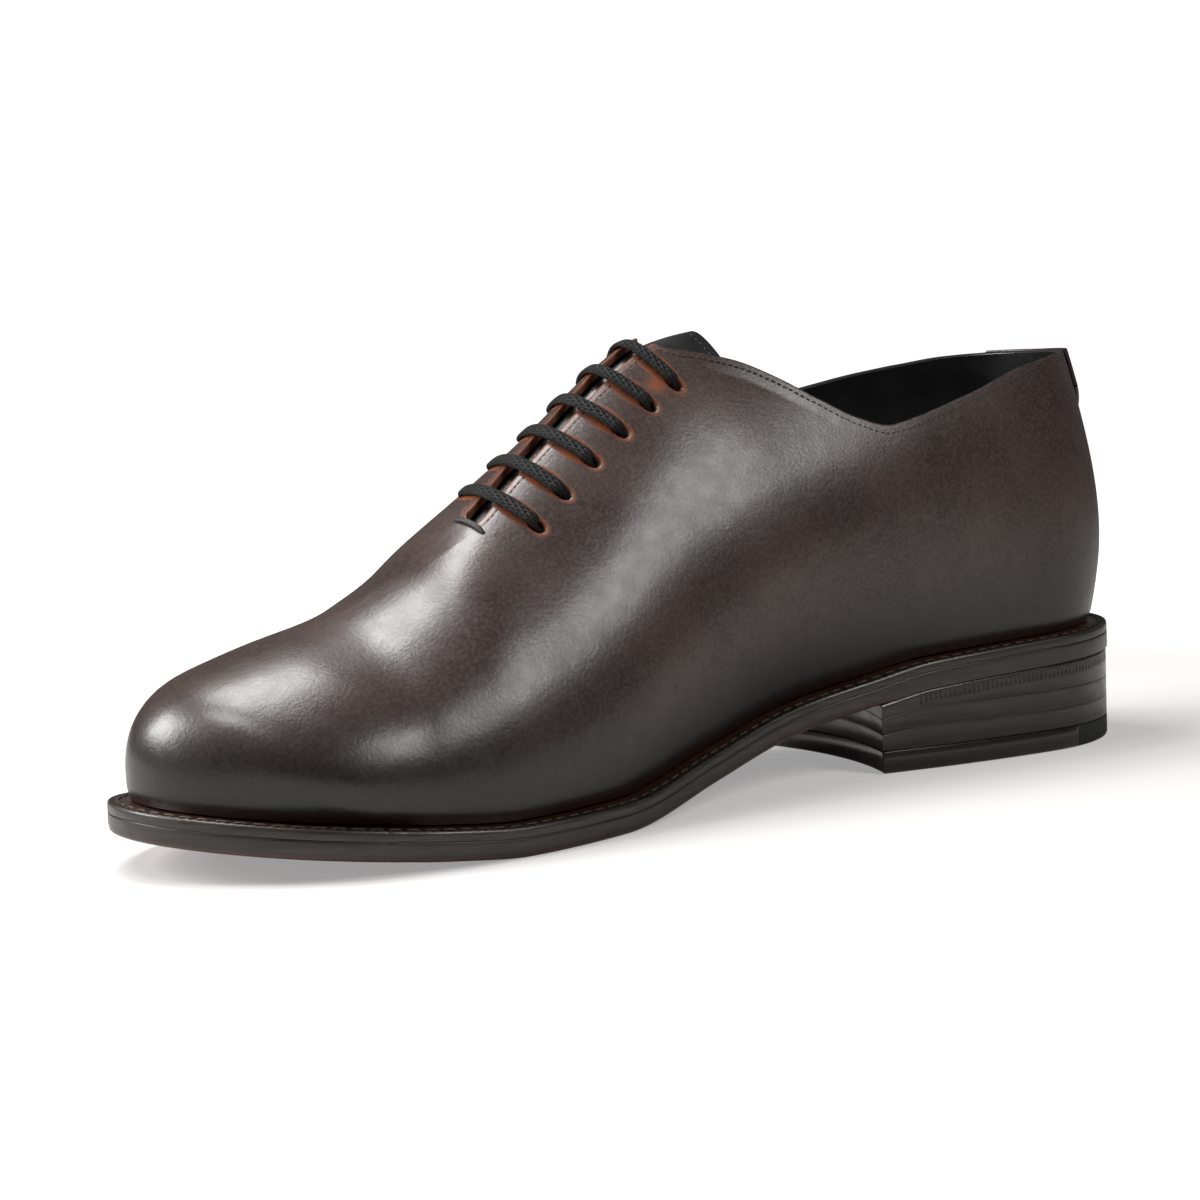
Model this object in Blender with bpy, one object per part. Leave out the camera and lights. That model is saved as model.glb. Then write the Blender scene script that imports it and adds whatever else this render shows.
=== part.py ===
# Whole cut oxford, right shoe, standing empty on its sole.
# Metres. X runs forward to the toe, Y to the inner side of the foot, Z up.
# The floor is Z 0 and the origin is under the middle of the sole's outline.
import math

import bmesh
import bpy
import numpy as np

# Driving sizes of the last and the upper
LAST_LENGTH = 0.292        # feather line, heel to toe
BALL_WIDTH = 0.092         # feather line, across the ball
INSTEP_HEIGHT = 0.100      # ridge above the feather line at the top of the throat
UPPER_WALL = 0.0020        # leather and lining together
HEEL_FAN = 0.038           # centre of the round back of the last, from its back

# Driving sizes of the bottom
WELT_SHOW = 0.0048         # how far welt and sole stand out from the upper
WELT_UNDER = 0.0023        # how far the welt reaches under the upper
WELT_THICK = 0.0028
OUTSOLE_THICK = 0.0042
OUTSOLE_BEVEL = 0.0009
INSOLE_RISE = 0.0016       # insole above the welt
GAP = 0.0003               # between pieces that touch
FIT_GAP = 0.0004           # between pieces that curve together
TONGUE_CLEAR = 0.0007      # between the facings and the tongue
LACE_CLEAR = 0.0005        # between the facings and the lace

# Driving sizes of the heel
HEEL_LENGTH = 0.092        # breast from the back of the last, on the inner side
BREAST_SLANT = 0.006       # how much shorter the heel is on the outer side
BREAST_HOLLOW = 0.0055     # depth of the breast's curve
TOP_PIECE_THICK = 0.0060
LIFT_THICK = 0.0052
LIFT_COUNT = 3
RUBBER_INNER = 0.026       # where the rubber ends on the inner side, from the back of the last
RUBBER_OUTER = 0.050
HEEL_STEP = 0.0003         # lifts stand in from the outsole's edge

# Driving sizes of the throat, the lacing, the tongue and the heel tab
THROAT_GAP = 0.0054
THROAT_END = 0.0015        # length over which the gap closes at its foot
EYELET_PAIRS = 6
EYELET_FIRST = 0.0086      # first pair from the foot of the throat, along the ridge
EYELET_PITCH = 0.0118
EYELET_OUT_FOOT = 0.0135   # lace hole from the middle of the throat, across, at its foot
EYELET_OUT_TOP = 0.0125
EYELET_RADIUS = 0.0022
LACE_WIDTH = 0.0032
LACE_THICK = 0.0014
LACE_DIP = 0.0012          # how deep a bar's ends reach into the holes
TONGUE_THICK = 0.0018
TONGUE_HALF = 0.0225
TONGUE_ABOVE = 0.0180      # how far the tongue shows behind the top of the facings
TONGUE_DROP = 0.0015       # how far its free end sinks under the facings' line
TONGUE_BELOW = 0.012       # how far it reaches under the vamp
TONGUE_TIP = 0.15          # share of its length over which the free end narrows
TONGUE_TIP_NARROW = 0.30   # share of its width that it loses there
TONGUE_FOOT = 0.20         # share of its length over which the foot widens
TONGUE_FOOT_WIDE = 0.60    # share of its width at the foot's end
TONGUE_SINK = 0.20         # share of its length over which the free end sinks
TAB_THICK = 0.0011
TAB_HEIGHT = 0.021
TAB_HALF_ANGLE = math.radians(34)

# Sections of the last, heel to toe. at and reach are shares of LAST_LENGTH: the section
# starts on the feather line at "at", and its top lies "reach" further forward. top is a
# share of INSTEP_HEIGHT. lean moves the ridge to the inner side, as a share of BALL_WIDTH.
# The half widths are shares of BALL_WIDTH at the feather line, at 0.3 and at 0.7 of the
# section's height, before the crown rounds it over.
SECTION_COLUMNS = ("at", "reach", "top", "crown", "lean",
                   "in_low", "in_mid", "in_high", "out_low", "out_mid", "out_high")
SECTIONS = (
    (0.000, 0.000, 1.22, 4.00, 0.000, 0.326, 0.362, 0.285, 0.326, 0.362, 0.285),
    (0.130, 0.000, 1.21, 3.90, 0.000, 0.326, 0.372, 0.310, 0.332, 0.372, 0.310),
    (0.257, 0.000, 1.12, 3.40, -0.010, 0.283, 0.378, 0.345, 0.337, 0.388, 0.345),
    (0.377, 0.000, 1.045, 2.80, -0.025, 0.228, 0.378, 0.378, 0.359, 0.413, 0.362),
    (0.497, 0.000, 1.035, 2.35, -0.030, 0.283, 0.408, 0.400, 0.418, 0.444, 0.372),
    (0.582, 0.000, 0.930, 2.25, -0.018, 0.370, 0.448, 0.412, 0.478, 0.480, 0.412),
    (0.682, 0.000, 0.730, 2.40, -0.006, 0.462, 0.495, 0.448, 0.516, 0.515, 0.478),
    (0.747, 0.000, 0.594, 2.45, 0.000, 0.484, 0.505, 0.467, 0.500, 0.508, 0.464),
    (0.805, 0.000, 0.483, 2.30, 0.000, 0.473, 0.500, 0.467, 0.457, 0.478, 0.452),
    (0.825, 0.041, 0.405, 2.35, 0.000, 0.463, 0.491, 0.470, 0.4365, 0.460, 0.440),
    (0.839, 0.082, 0.340, 2.35, 0.000, 0.452, 0.484, 0.460, 0.4215, 0.446, 0.424),
    (0.849, 0.121, 0.263, 2.35, 0.000, 0.446, 0.467, 0.434, 0.4105, 0.429, 0.394),
    (0.854, 0.1415, 0.163, 2.35, 0.000, 0.441, 0.443, 0.400, 0.405, 0.400, 0.357),
    (0.8555, 0.1455, 0.083, 2.30, 0.000, 0.440, 0.425, 0.384, 0.4033, 0.377, 0.336),
    (0.856, 0.144, 0.000, 2.30, 0.000, 0.440, 0.411, 0.372, 0.4027, 0.358, 0.322),
)
SECTION_MID = 0.3
SECTION_HIGH = 0.7

# Back curve of the heel: height as a share of INSTEP_HEIGHT, set forward as one of LAST_LENGTH
BACK_COLUMNS = ("height", "forward")
BACK_CURVE = (
    (0.00, 0.000),
    (0.20, -0.012),
    (0.40, -0.006),
    (0.64, 0.014),
    (1.05, 0.045),
)
HEEL_ROUND = 2.25          # roundness of the heel in plan

# Collar from the back to the top of the throat: at is a share of LAST_LENGTH, inner and
# outer are shares of the quarter turn from the feather line up to the ridge
COLLAR_COLUMNS = ("at", "inner", "outer")
COLLAR = (
    (0.000, 0.435, 0.435),
    (0.070, 0.433, 0.434),
    (0.130, 0.424, 0.430),
    (0.205, 0.405, 0.437),
    (0.257, 0.402, 0.446),
    (0.297, 0.412, 0.456),
    (0.335, 0.461, 0.480),
    (0.366, 0.526, 0.530),
    (0.400, 0.610, 0.610),
    (0.4265, 0.675, 0.675),
    (0.4485, 0.722, 0.722),
    (0.4665, 0.765, 0.765),
    (0.481, 0.802, 0.802),
    (0.490, 0.846, 0.846),
    (0.4955, 0.905, 0.905),
    (0.498, 0.960, 0.960),
)
THROAT_TOP = 0.498         # share of LAST_LENGTH
THROAT_FOOT = 0.700

# The throat runs to the inner side of the ridge: at is a share of LAST_LENGTH, aside in metres
SWING_COLUMNS = ("at", "aside")
SWING = (
    (0.400, 0.0030),
    (0.498, 0.0028),
    (0.550, 0.0034),
    (0.610, 0.0036),
    (0.650, 0.0048),
    (0.700, 0.0078),
    (0.760, 0.0044),
    (0.815, 0.0),
    (0.860, 0.0),
)

# Underside of the outsole, heel to toe: at is a share of LAST_LENGTH, rise in metres. The
# two rows at nought are the forefoot's flat spot.
PROFILE_COLUMNS = ("at", "rise")
PROFILE = (
    (-0.027, 0.0262),
    (0.257, 0.0220),
    (0.325, 0.0182),
    (0.411, 0.0135),
    (0.514, 0.0063),
    (0.634, 0.0),
    (0.736, 0.0),
    (0.805, 0.0016),
    (0.908, 0.0052),
    (1.027, 0.0098),
)

# How fine the surfaces are cut
HEEL_COLUMNS = 9
COLLAR_COLUMN_COUNT = 17
THROAT_COLUMNS = 12
VAMP_COLUMNS = 6
TOE_COLUMNS = 13
WALL_ROWS = 11
OUTLINE_POINTS = 240
PLATE_LINES = 64
TONGUE_ROWS = 16
TONGUE_LINES = 9
TAB_ROWS = 7
TAB_LINES = 11
LACE_POINTS = 13
LACE_SIDES = 8
HOLE_SIDES = 12


def smooth_curve(xs, ys):
    """Natural cubic spline through the points, as a function."""
    xs, ys = np.asarray(xs, float), np.asarray(ys, float)
    step = np.diff(xs)
    count = len(xs)
    matrix, right = np.eye(count), np.zeros(count)
    for i in range(1, count - 1):
        matrix[i, i - 1:i + 2] = step[i - 1], 2 * (step[i - 1] + step[i]), step[i]
        right[i] = 6 * ((ys[i + 1] - ys[i]) / step[i] - (ys[i] - ys[i - 1]) / step[i - 1])
    bend = np.linalg.solve(matrix, right)

    def curve(x):
        i = np.clip(np.searchsorted(xs, x) - 1, 0, count - 2)
        t, h = x - xs[i], step[i]
        slope = (ys[i + 1] - ys[i]) / h - h * (2 * bend[i] + bend[i + 1]) / 6
        return ys[i] + slope * t + bend[i] * t**2 / 2 + (bend[i + 1] - bend[i]) * t**3 / (6 * h)

    return curve


def steady_curve(xs, ys):
    """Curve through the points that never overshoots them, as a function."""
    xs, ys = np.asarray(xs, float), np.asarray(ys, float)
    step, slope = np.diff(xs), np.diff(ys) / np.diff(xs)
    tangent = np.zeros(len(xs))
    tangent[0], tangent[-1] = slope[0], slope[-1]
    for i in range(1, len(xs) - 1):
        if slope[i - 1] * slope[i] > 0:
            first, second = 2 * step[i] + step[i - 1], step[i] + 2 * step[i - 1]
            tangent[i] = (first + second) / (first / slope[i - 1] + second / slope[i])

    def curve(x):
        i = np.clip(np.searchsorted(xs, x) - 1, 0, len(xs) - 2)
        h = step[i]
        t = np.clip((x - xs[i]) / h, 0.0, 1.0)
        return ((1 + 2 * t) * (1 - t)**2 * ys[i] + t * (1 - t)**2 * h * tangent[i]
                + t**2 * (3 - 2 * t) * ys[i + 1] - t**2 * (1 - t) * h * tangent[i + 1])

    return curve


def column(rows, names, name):
    return np.array([row[names.index(name)] for row in rows])


def section_curves():
    """Each column of SECTIONS as a smooth curve over the station, which is the length
    walked along the tops of the sections. The upright ones are walked in length alone."""
    share = {name: column(SECTIONS, SECTION_COLUMNS, name) for name in SECTION_COLUMNS}
    top_x = (share["at"] + share["reach"]) * LAST_LENGTH
    steps = np.hypot(np.diff(top_x), np.diff(share["top"] * INSTEP_HEIGHT))
    steps = np.where(top_x[1:] <= THROAT_TOP * LAST_LENGTH, np.diff(top_x), steps)
    stations = np.concatenate(([0.0], np.cumsum(steps)))
    curves = {name: smooth_curve(stations, share[name]) for name in SECTION_COLUMNS}
    curves["at"] = steady_curve(stations, share["at"])
    return stations, curves


def curve_of(rows, names, name, make, scale):
    at = column(rows, names, names[0])
    return make(at * LAST_LENGTH, column(rows, names, name) * scale)


STATIONS, SECTION = section_curves()
TOE_STATION = STATIONS[-1]
BACK = smooth_curve(column(BACK_CURVE, BACK_COLUMNS, "height") * INSTEP_HEIGHT,
                    column(BACK_CURVE, BACK_COLUMNS, "forward") * LAST_LENGTH)
COLLAR_TURN = {True: curve_of(COLLAR, COLLAR_COLUMNS, "inner", steady_curve, math.pi / 2),
               False: curve_of(COLLAR, COLLAR_COLUMNS, "outer", steady_curve, math.pi / 2)}
sole_under = curve_of(PROFILE, PROFILE_COLUMNS, "rise", steady_curve, 1.0)
swing = curve_of(SWING, SWING_COLUMNS, "aside", steady_curve, 1.0)
FINE_STATIONS = np.linspace(0.0, TOE_STATION, 3000)
FINE_TOP_X = (SECTION["at"](FINE_STATIONS) + SECTION["reach"](FINE_STATIONS)) * LAST_LENGTH
FINE_TOP_X = np.maximum.accumulate(FINE_TOP_X)


def station_at(x):
    """Station of the section whose top is at the length x."""
    return np.interp(x, FINE_TOP_X, FINE_STATIONS)


FAN_STATION = station_at(HEEL_FAN)


def half_width(station, share, inner):
    """Half width of a section at a share of its height, crown included."""
    low, mid, high = (np.where(inner, SECTION["in_" + name](station), SECTION["out_" + name](station))
                      for name in ("low", "mid", "high"))
    first = (mid - low) / SECTION_MID
    second = ((high - mid) / (SECTION_HIGH - SECTION_MID) - first) / SECTION_HIGH
    frame = low + first * share + second * share * (share - SECTION_MID)
    crown = np.sqrt(np.maximum(0.0, 1.0 - share ** SECTION["crown"](station)))
    return frame * crown * BALL_WIDTH


def last_point(station, angle, inner):
    """Point of the last's surface over a flat feather line. angle runs from 0 at the
    feather line to a quarter turn on the ridge."""
    station, angle, inner = np.broadcast_arrays(np.asarray(station, float), angle, inner)
    share = np.sin(angle)
    sign = np.where(inner, 1.0, -1.0)
    x = (SECTION["at"](station) + SECTION["reach"](station) * share) * LAST_LENGTH
    height = SECTION["top"](station) * INSTEP_HEIGHT * share
    y = sign * half_width(station, share, inner) + SECTION["lean"](station) * BALL_WIDTH * share
    # Round the back: the sections fan out about an upright line at HEEL_FAN
    turn = np.clip((FAN_STATION - station) / FAN_STATION, 0.0, 1.0) * math.pi / 2
    fan_x = HEEL_FAN - (HEEL_FAN - BACK(height)) * np.sin(turn) ** (2 / HEEL_ROUND)
    fan_width = half_width(np.clip(fan_x, 0.0, None), share, inner)
    fan_y = sign * fan_width * np.abs(np.cos(turn)) ** (2 / HEEL_ROUND)
    back = station < FAN_STATION
    return np.stack((np.where(back, fan_x, x), np.where(back, fan_y, y), height), axis=-1)


OUTSOLE_TOP = OUTSOLE_THICK
WELT_FOOT = OUTSOLE_TOP + FIT_GAP
WELT_TOP = WELT_FOOT + WELT_THICK
FEATHER = WELT_TOP + FIT_GAP   # the upper's lower edge above the outsole's underside


def feather_line(inner):
    """Plan outline of the last at the feather line, from the middle of the back to the tip."""
    along = np.concatenate((
        np.linspace(0.0, FAN_STATION, OUTLINE_POINTS // 4, endpoint=False),
        np.linspace(FAN_STATION, TOE_STATION, OUTLINE_POINTS // 2, endpoint=False)))
    sides = last_point(along, 0.0, inner)
    front = last_point(TOE_STATION, np.linspace(0.0, math.pi / 2, OUTLINE_POINTS // 4), inner)
    line = np.vstack((sides, front))[:, :2]
    line[0, 1] = line[-1, 1] = 0.0
    return line


def offset_line(line, distance, inner):
    """The outline moved outwards by a distance, with its ends kept on the middle line."""
    step = np.hypot(*np.diff(line, axis=0).T)
    keep = np.concatenate(([True], step > 1e-6))
    line = line[keep]
    tangent = np.gradient(line, axis=0)
    tangent[0], tangent[-1] = (0.0, 1.0), (0.0, -1.0)
    if not inner:
        tangent[0], tangent[-1] = (0.0, -1.0), (0.0, 1.0)
    tangent /= np.linalg.norm(tangent, axis=1)[:, None]
    turn = 1.0 if inner else -1.0
    normal = np.stack((-tangent[:, 1], tangent[:, 0]), axis=1) * turn
    return line + normal * distance


LINES = {inner: feather_line(inner) for inner in (True, False)}


def bottom_line(distance, inner, count=PLATE_LINES):
    """Outline at a distance outside the feather line, at lengths that both sides share."""
    line = offset_line(LINES[inner], distance, inner)
    run = (1.0 - np.cos(np.linspace(0.0, math.pi, count))) / 2
    x = -distance + (LAST_LENGTH + 2 * distance) * run
    y = np.interp(x, line[:, 0], line[:, 1])
    y[0] = y[-1] = 0.0
    return np.stack((x, y), axis=1)


SOLE_INNER = bottom_line(WELT_SHOW, True, OUTLINE_POINTS)
SOLE_OUTER = bottom_line(WELT_SHOW, False, OUTLINE_POINTS)
MIDDLE_X = (SOLE_INNER[:, 0].min() + SOLE_INNER[:, 0].max()) / 2
MIDDLE_Y = (SOLE_INNER[:, 1].max() + SOLE_OUTER[:, 1].min()) / 2


def placed(points, rise=FEATHER):
    """Points over a flat feather line set on the curve of the sole, in the shoe's frame."""
    points = np.asarray(points, float)
    bent = points.copy()
    bent[..., 2] += sole_under(points[..., 0]) + rise
    bent[..., 0] -= MIDDLE_X
    bent[..., 1] -= MIDDLE_Y
    return bent


def wall_point(station, angle, inner, depth):
    """Point at a depth under the last's surface, negative outside it, over a flat line."""
    station, angle, inner = np.broadcast_arrays(np.asarray(station, float), angle, inner)
    small = 1e-4
    safe = np.clip(angle, math.radians(3), math.pi / 2 - small)
    near = np.clip(station, small, TOE_STATION - small)
    along = last_point(near + small, safe, inner) - last_point(near - small, safe, inner)
    upward = last_point(near, safe + small, inner) - last_point(near, safe - small, inner)
    normal = np.cross(along, upward) * np.where(inner, -1.0, 1.0)[..., None]
    # On the middle line the normal has no part across, so that both sides join
    ridge = last_point(near + small, math.pi / 2, True) - last_point(near - small, math.pi / 2, True)
    middle = np.stack((-ridge[..., 2], np.zeros(ridge.shape[:-1]), ridge[..., 0]), axis=-1)
    normal = np.where((angle > math.pi / 2 - small)[..., None], middle, normal)
    rear = last_point(0.0, safe + small, True) - last_point(0.0, safe - small, True)
    behind = np.stack((-rear[..., 2], np.zeros(rear.shape[:-1]), rear[..., 0]), axis=-1)
    normal = np.where((station < small)[..., None], behind, normal)
    normal /= np.linalg.norm(normal, axis=-1)[..., None]
    return last_point(station, angle, inner) - normal * depth


def angle_at_height(station, height):
    """Angle at which a section reaches a height over the feather line."""
    share = height / (SECTION["top"](station) * INSTEP_HEIGHT)
    return np.arcsin(np.clip(share, 0.0, 1.0))


def angle_at_width(station, width, inner):
    """Angle near the ridge at which a section is a half width wide."""
    station, width, inner = np.broadcast_arrays(station, width, inner)
    low = np.full(width.shape, math.radians(25))
    high = np.full(width.shape, math.pi / 2)
    for _ in range(36):
        middle = (low + high) / 2
        wide = half_width(station, np.sin(middle), inner) > width
        low, high = np.where(wide, middle, low), np.where(wide, high, middle)
    return (low + high) / 2


def over_ridge(angle, inner):
    """An angle past the ridge, as one on the other side."""
    past = angle > math.pi / 2
    return np.where(past, math.pi - angle, angle), np.where(past, not inner, inner)


def angle_beside(station, width, inner):
    """Angle at a signed width to the inner side, counted up from one side's feather line."""
    here = angle_at_width(station, np.abs(width), width >= 0.0)
    here = np.where(np.abs(width) < 1e-7, math.pi / 2, here)
    return np.where((width >= 0.0) == inner, here, math.pi - here)


def mesh_object(name, points, faces, colour, roughness, metallic=0.0):
    """One closed body with its faces pointing out, with its own material."""
    mesh = bpy.data.meshes.new(name)
    mesh.from_pydata([tuple(p) for p in np.asarray(points)], [], faces)
    work = bmesh.new()
    work.from_mesh(mesh)
    bmesh.ops.remove_doubles(work, verts=work.verts, dist=1e-6)
    bmesh.ops.recalc_face_normals(work, faces=work.faces)
    work.to_mesh(mesh)
    work.free()
    mesh.shade_smooth()
    mesh.set_sharp_from_angle(angle=math.radians(40))
    thing = bpy.data.objects.new(name, mesh)
    bpy.context.scene.collection.objects.link(thing)
    material = bpy.data.materials.new(name)
    material.use_nodes = True
    shader = material.node_tree.nodes["Principled BSDF"]
    shader.inputs["Base Color"].default_value = (*colour, 1.0)
    shader.inputs["Roughness"].default_value = roughness
    shader.inputs["Metallic"].default_value = metallic
    mesh.materials.append(material)
    return thing


class Skin:
    """Collects grids of points and the faces between them."""

    def __init__(self):
        self.points, self.faces = [], []

    def grid(self, points):
        """Adds a grid of points and returns their numbers."""
        points = np.asarray(points, float)
        start = len(self.points)
        self.points.extend(points.reshape(-1, 3))
        return np.arange(start, start + points.shape[0] * points.shape[1]).reshape(points.shape[:2])

    def sheet(self, numbers):
        for a, b in zip(numbers[:-1], numbers[1:]):
            self.strip(a, b)

    def strip(self, first, second):
        for i in range(len(first) - 1):
            self.faces.append((first[i], first[i + 1], second[i + 1], second[i]))


def clean(skin):
    """Faces with the corners that fall on one point taken once."""
    points = np.round(np.asarray(skin.points), 7)
    faces = []
    for face in skin.faces:
        corners = []
        for number in face:
            if not any(np.array_equal(points[number], points[other]) for other in corners):
                corners.append(number)
        if len(corners) > 2:
            faces.append(tuple(int(number) for number in corners))
    return skin.points, faces


def plate_object(name, outer_lines, levels, colour, roughness):
    """A plate that follows the sole. Each level has an outset from the feather line and a
    rise over the outsole's underside, from the top face's rim to the bottom face's."""
    skin = Skin()
    rims = []
    for distance, rise in levels:
        sides = []
        for inner in (True, False):
            line = bottom_line(distance, inner, outer_lines)
            flat = np.column_stack((line, np.zeros(len(line))))
            sides.append(placed(flat, rise))
        rims.append([skin.grid(side[:, None, :])[:, 0] for side in sides])
    for upper_rim, lower_rim in zip(rims[:-1], rims[1:]):
        for above, below in zip(upper_rim, lower_rim):
            skin.strip(above, below)
    for rim in (rims[0], rims[-1]):
        skin.strip(rim[0], rim[1])
    return mesh_object(name, *clean(skin), colour, roughness)


def make_outsole():
    levels = ((WELT_SHOW, OUTSOLE_TOP), (WELT_SHOW, OUTSOLE_BEVEL), (WELT_SHOW - OUTSOLE_BEVEL, 0.0))
    return plate_object("outsole", PLATE_LINES, levels, (0.17, 0.045, 0.018), 0.3)


def make_insole():
    inset = -(WELT_UNDER + FIT_GAP)
    levels = ((inset, FEATHER + INSOLE_RISE), (inset, OUTSOLE_TOP + FIT_GAP))
    return plate_object("insole", PLATE_LINES, levels, (0.03, 0.022, 0.018), 0.6)


def make_welt():
    """A flat ring all round between the upper and the outsole."""
    skin = Skin()
    corners = ((WELT_SHOW, WELT_TOP), (WELT_SHOW, WELT_FOOT), (-WELT_UNDER, WELT_FOOT), (-WELT_UNDER, WELT_TOP))
    for inner in (True, False):
        ring = []
        for distance, rise in corners:
            line = bottom_line(distance, inner)
            ring.append(placed(np.column_stack((line, np.zeros(len(line)))), rise))
        numbers = skin.grid(np.array(ring + ring[:1]))
        skin.sheet(numbers)
    return mesh_object("welt", *clean(skin), (0.03, 0.025, 0.022), 0.45)


def breast_x(y):
    """Length of the heel's breast at a width, measured in plan."""
    across = (y - MIDDLE_AT_BREAST) / (WIDTH_AT_BREAST / 2)
    line = HEEL_LENGTH - BREAST_SLANT * (1.0 - across) / 2
    return line - BREAST_HOLLOW * np.clip(1.0 - across**2, 0.0, 1.0)


def side_y(x, inner, distance):
    line = offset_line(LINES[inner], distance, inner)
    half = line[line[:, 0] < 0.6 * LAST_LENGTH]
    return np.interp(x, half[:, 0], half[:, 1])


WIDTH_AT_BREAST = float(side_y(HEEL_LENGTH, True, WELT_SHOW) - side_y(HEEL_LENGTH, False, WELT_SHOW))
MIDDLE_AT_BREAST = float(side_y(HEEL_LENGTH, True, WELT_SHOW) + side_y(HEEL_LENGTH, False, WELT_SHOW)) / 2
HEEL_ACROSS = 9            # points over the breast and the joint of the top piece
HEEL_ROUND_POINTS = 22


def heel_plan(front, back):
    """Closed plan outline of the heel between two curves across it. Each is a function that
    gives the length at a width, or None at the round back of the heel."""
    sides = {}
    for inner in (True, False):
        line = bottom_line(WELT_SHOW - HEEL_STEP, inner, OUTLINE_POINTS)
        line = line[line[:, 0] < 0.6 * LAST_LENGTH]
        inside = line[:, 0] < front(line[:, 1])
        if back is not None:
            inside &= line[:, 0] > back(line[:, 1])
        run = line[inside]
        picked = run[np.linspace(0, len(run) - 1, HEEL_ROUND_POINTS).astype(int)]
        sides[inner] = picked

    def across(curve, first, last):
        y = np.linspace(first, last, HEEL_ACROSS)
        return np.column_stack((curve(y), y))

    outline = [sides[True], across(front, sides[True][-1, 1], sides[False][-1, 1]), sides[False][::-1]]
    if back is not None:
        outline.append(across(back, sides[False][0, 1], sides[True][0, 1]))
    outline = np.vstack(outline)
    keep = [0]
    for i in range(1, len(outline)):
        if np.hypot(*(outline[i] - outline[keep[-1]])) > 2e-4:
            keep.append(i)
    if np.hypot(*(outline[keep[-1]] - outline[0])) < 2e-4:
        keep.pop()
    return outline[keep]


def heel_block(name, outline, low, high, colour, roughness):
    """An upright prism from low to high. high None follows the outsole's underside."""
    under = sole_under(outline[:, 0]) - FIT_GAP if high is None else np.full(len(outline), high)
    foot = np.full(len(outline), low)
    count = len(outline)
    points = []
    for heights in (foot, under):
        points.extend(np.column_stack((outline[:, 0] - MIDDLE_X, outline[:, 1] - MIDDLE_Y, heights)))
    faces = [(i, (i + 1) % count, count + (i + 1) % count, count + i) for i in range(count)]
    work = bmesh.new()
    verts = [work.verts.new(tuple(p)) for p in points]
    for face in faces:
        work.faces.new([verts[i] for i in face])
    for start in (0, count):
        ring = [verts[i] for i in range(start, start + count)]
        cap = work.faces.new(ring)
        bmesh.ops.triangulate(work, faces=[cap])
    mesh = bpy.data.meshes.new(name)
    work.to_mesh(mesh)
    work.free()
    corners = [tuple(v.co) for v in mesh.vertices]
    polygons = [tuple(p.vertices) for p in mesh.polygons]
    return mesh_object(name, corners, polygons, colour, roughness)


def rubber_line(y):
    """The slanting joint between the leather and the rubber of the top piece."""
    inner_y = side_y(RUBBER_INNER, True, WELT_SHOW)
    outer_y = side_y(RUBBER_OUTER, False, WELT_SHOW)
    return RUBBER_INNER + (RUBBER_OUTER - RUBBER_INNER) * (y - inner_y) / (outer_y - inner_y)


def make_heel():
    leather, black = (0.03, 0.024, 0.021), (0.012, 0.012, 0.012)
    lift = TOP_PIECE_THICK + GAP
    for number in range(1, LIFT_COUNT + 1):
        last = number == LIFT_COUNT
        top = None if last else lift + LIFT_THICK
        heel_block(f"heel_lift_{number}", heel_plan(breast_x, None), lift, top, leather, 0.35)
        lift += LIFT_THICK + GAP
    front = heel_plan(breast_x, lambda y: rubber_line(y) + GAP / 2)
    heel_block("heel_top_piece_leather", front, 0.0, TOP_PIECE_THICK, (0.2, 0.05, 0.02), 0.3)
    rear = heel_plan(lambda y: rubber_line(y) - GAP / 2, None)
    heel_block("heel_top_piece_rubber", rear, 0.0, TOP_PIECE_THICK, black, 0.7)


def upper_grid():
    """Stations and angles of the upper's columns from the back of the heel to the toe, and
    the number of columns that end on the collar or the throat."""
    top_x, foot_x = THROAT_TOP * LAST_LENGTH, THROAT_FOOT * LAST_LENGTH
    top_station, foot_station = station_at(top_x), station_at(foot_x)
    vamp_end = station_at(SECTIONS[8][0] * LAST_LENGTH)
    # Closer columns where the collar climbs to the throat
    climb = 1.0 - (1.0 - np.linspace(0.0, 1.0, COLLAR_COLUMN_COUNT + 1)[:-1]) ** 1.5
    stations = np.concatenate((
        np.linspace(0.0, FAN_STATION, HEEL_COLUMNS, endpoint=False),
        FAN_STATION + (top_station - FAN_STATION) * climb,
        np.linspace(top_station, foot_station - THROAT_END, THROAT_COLUMNS),
        np.linspace(foot_station, vamp_end, VAMP_COLUMNS, endpoint=False),
        np.linspace(vamp_end, TOE_STATION, TOE_COLUMNS)))
    collar_count = HEEL_COLUMNS + COLLAR_COLUMN_COUNT
    return stations, collar_count, collar_count + THROAT_COLUMNS


def top_angles(stations, collar_count, open_count, inner):
    """Angle of the upper's top edge in each column."""
    along = np.interp(stations, FINE_STATIONS, FINE_TOP_X)
    side = THROAT_GAP / 2 if inner else -THROAT_GAP / 2
    angles = angle_beside(stations, swing(along), inner)
    collar = stations[:collar_count]
    round_back = HEEL_FAN * (1.0 - np.cos(np.clip(collar / FAN_STATION, 0.0, 1.0) * math.pi / 2))
    x = np.where(collar < FAN_STATION, round_back, collar)
    edge = angle_beside(stations[:open_count], swing(along[:open_count]) + side, inner)
    angles[:open_count] = edge
    angles[:collar_count] = np.minimum(COLLAR_TURN[inner](x), edge[:collar_count])
    return angles


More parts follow.
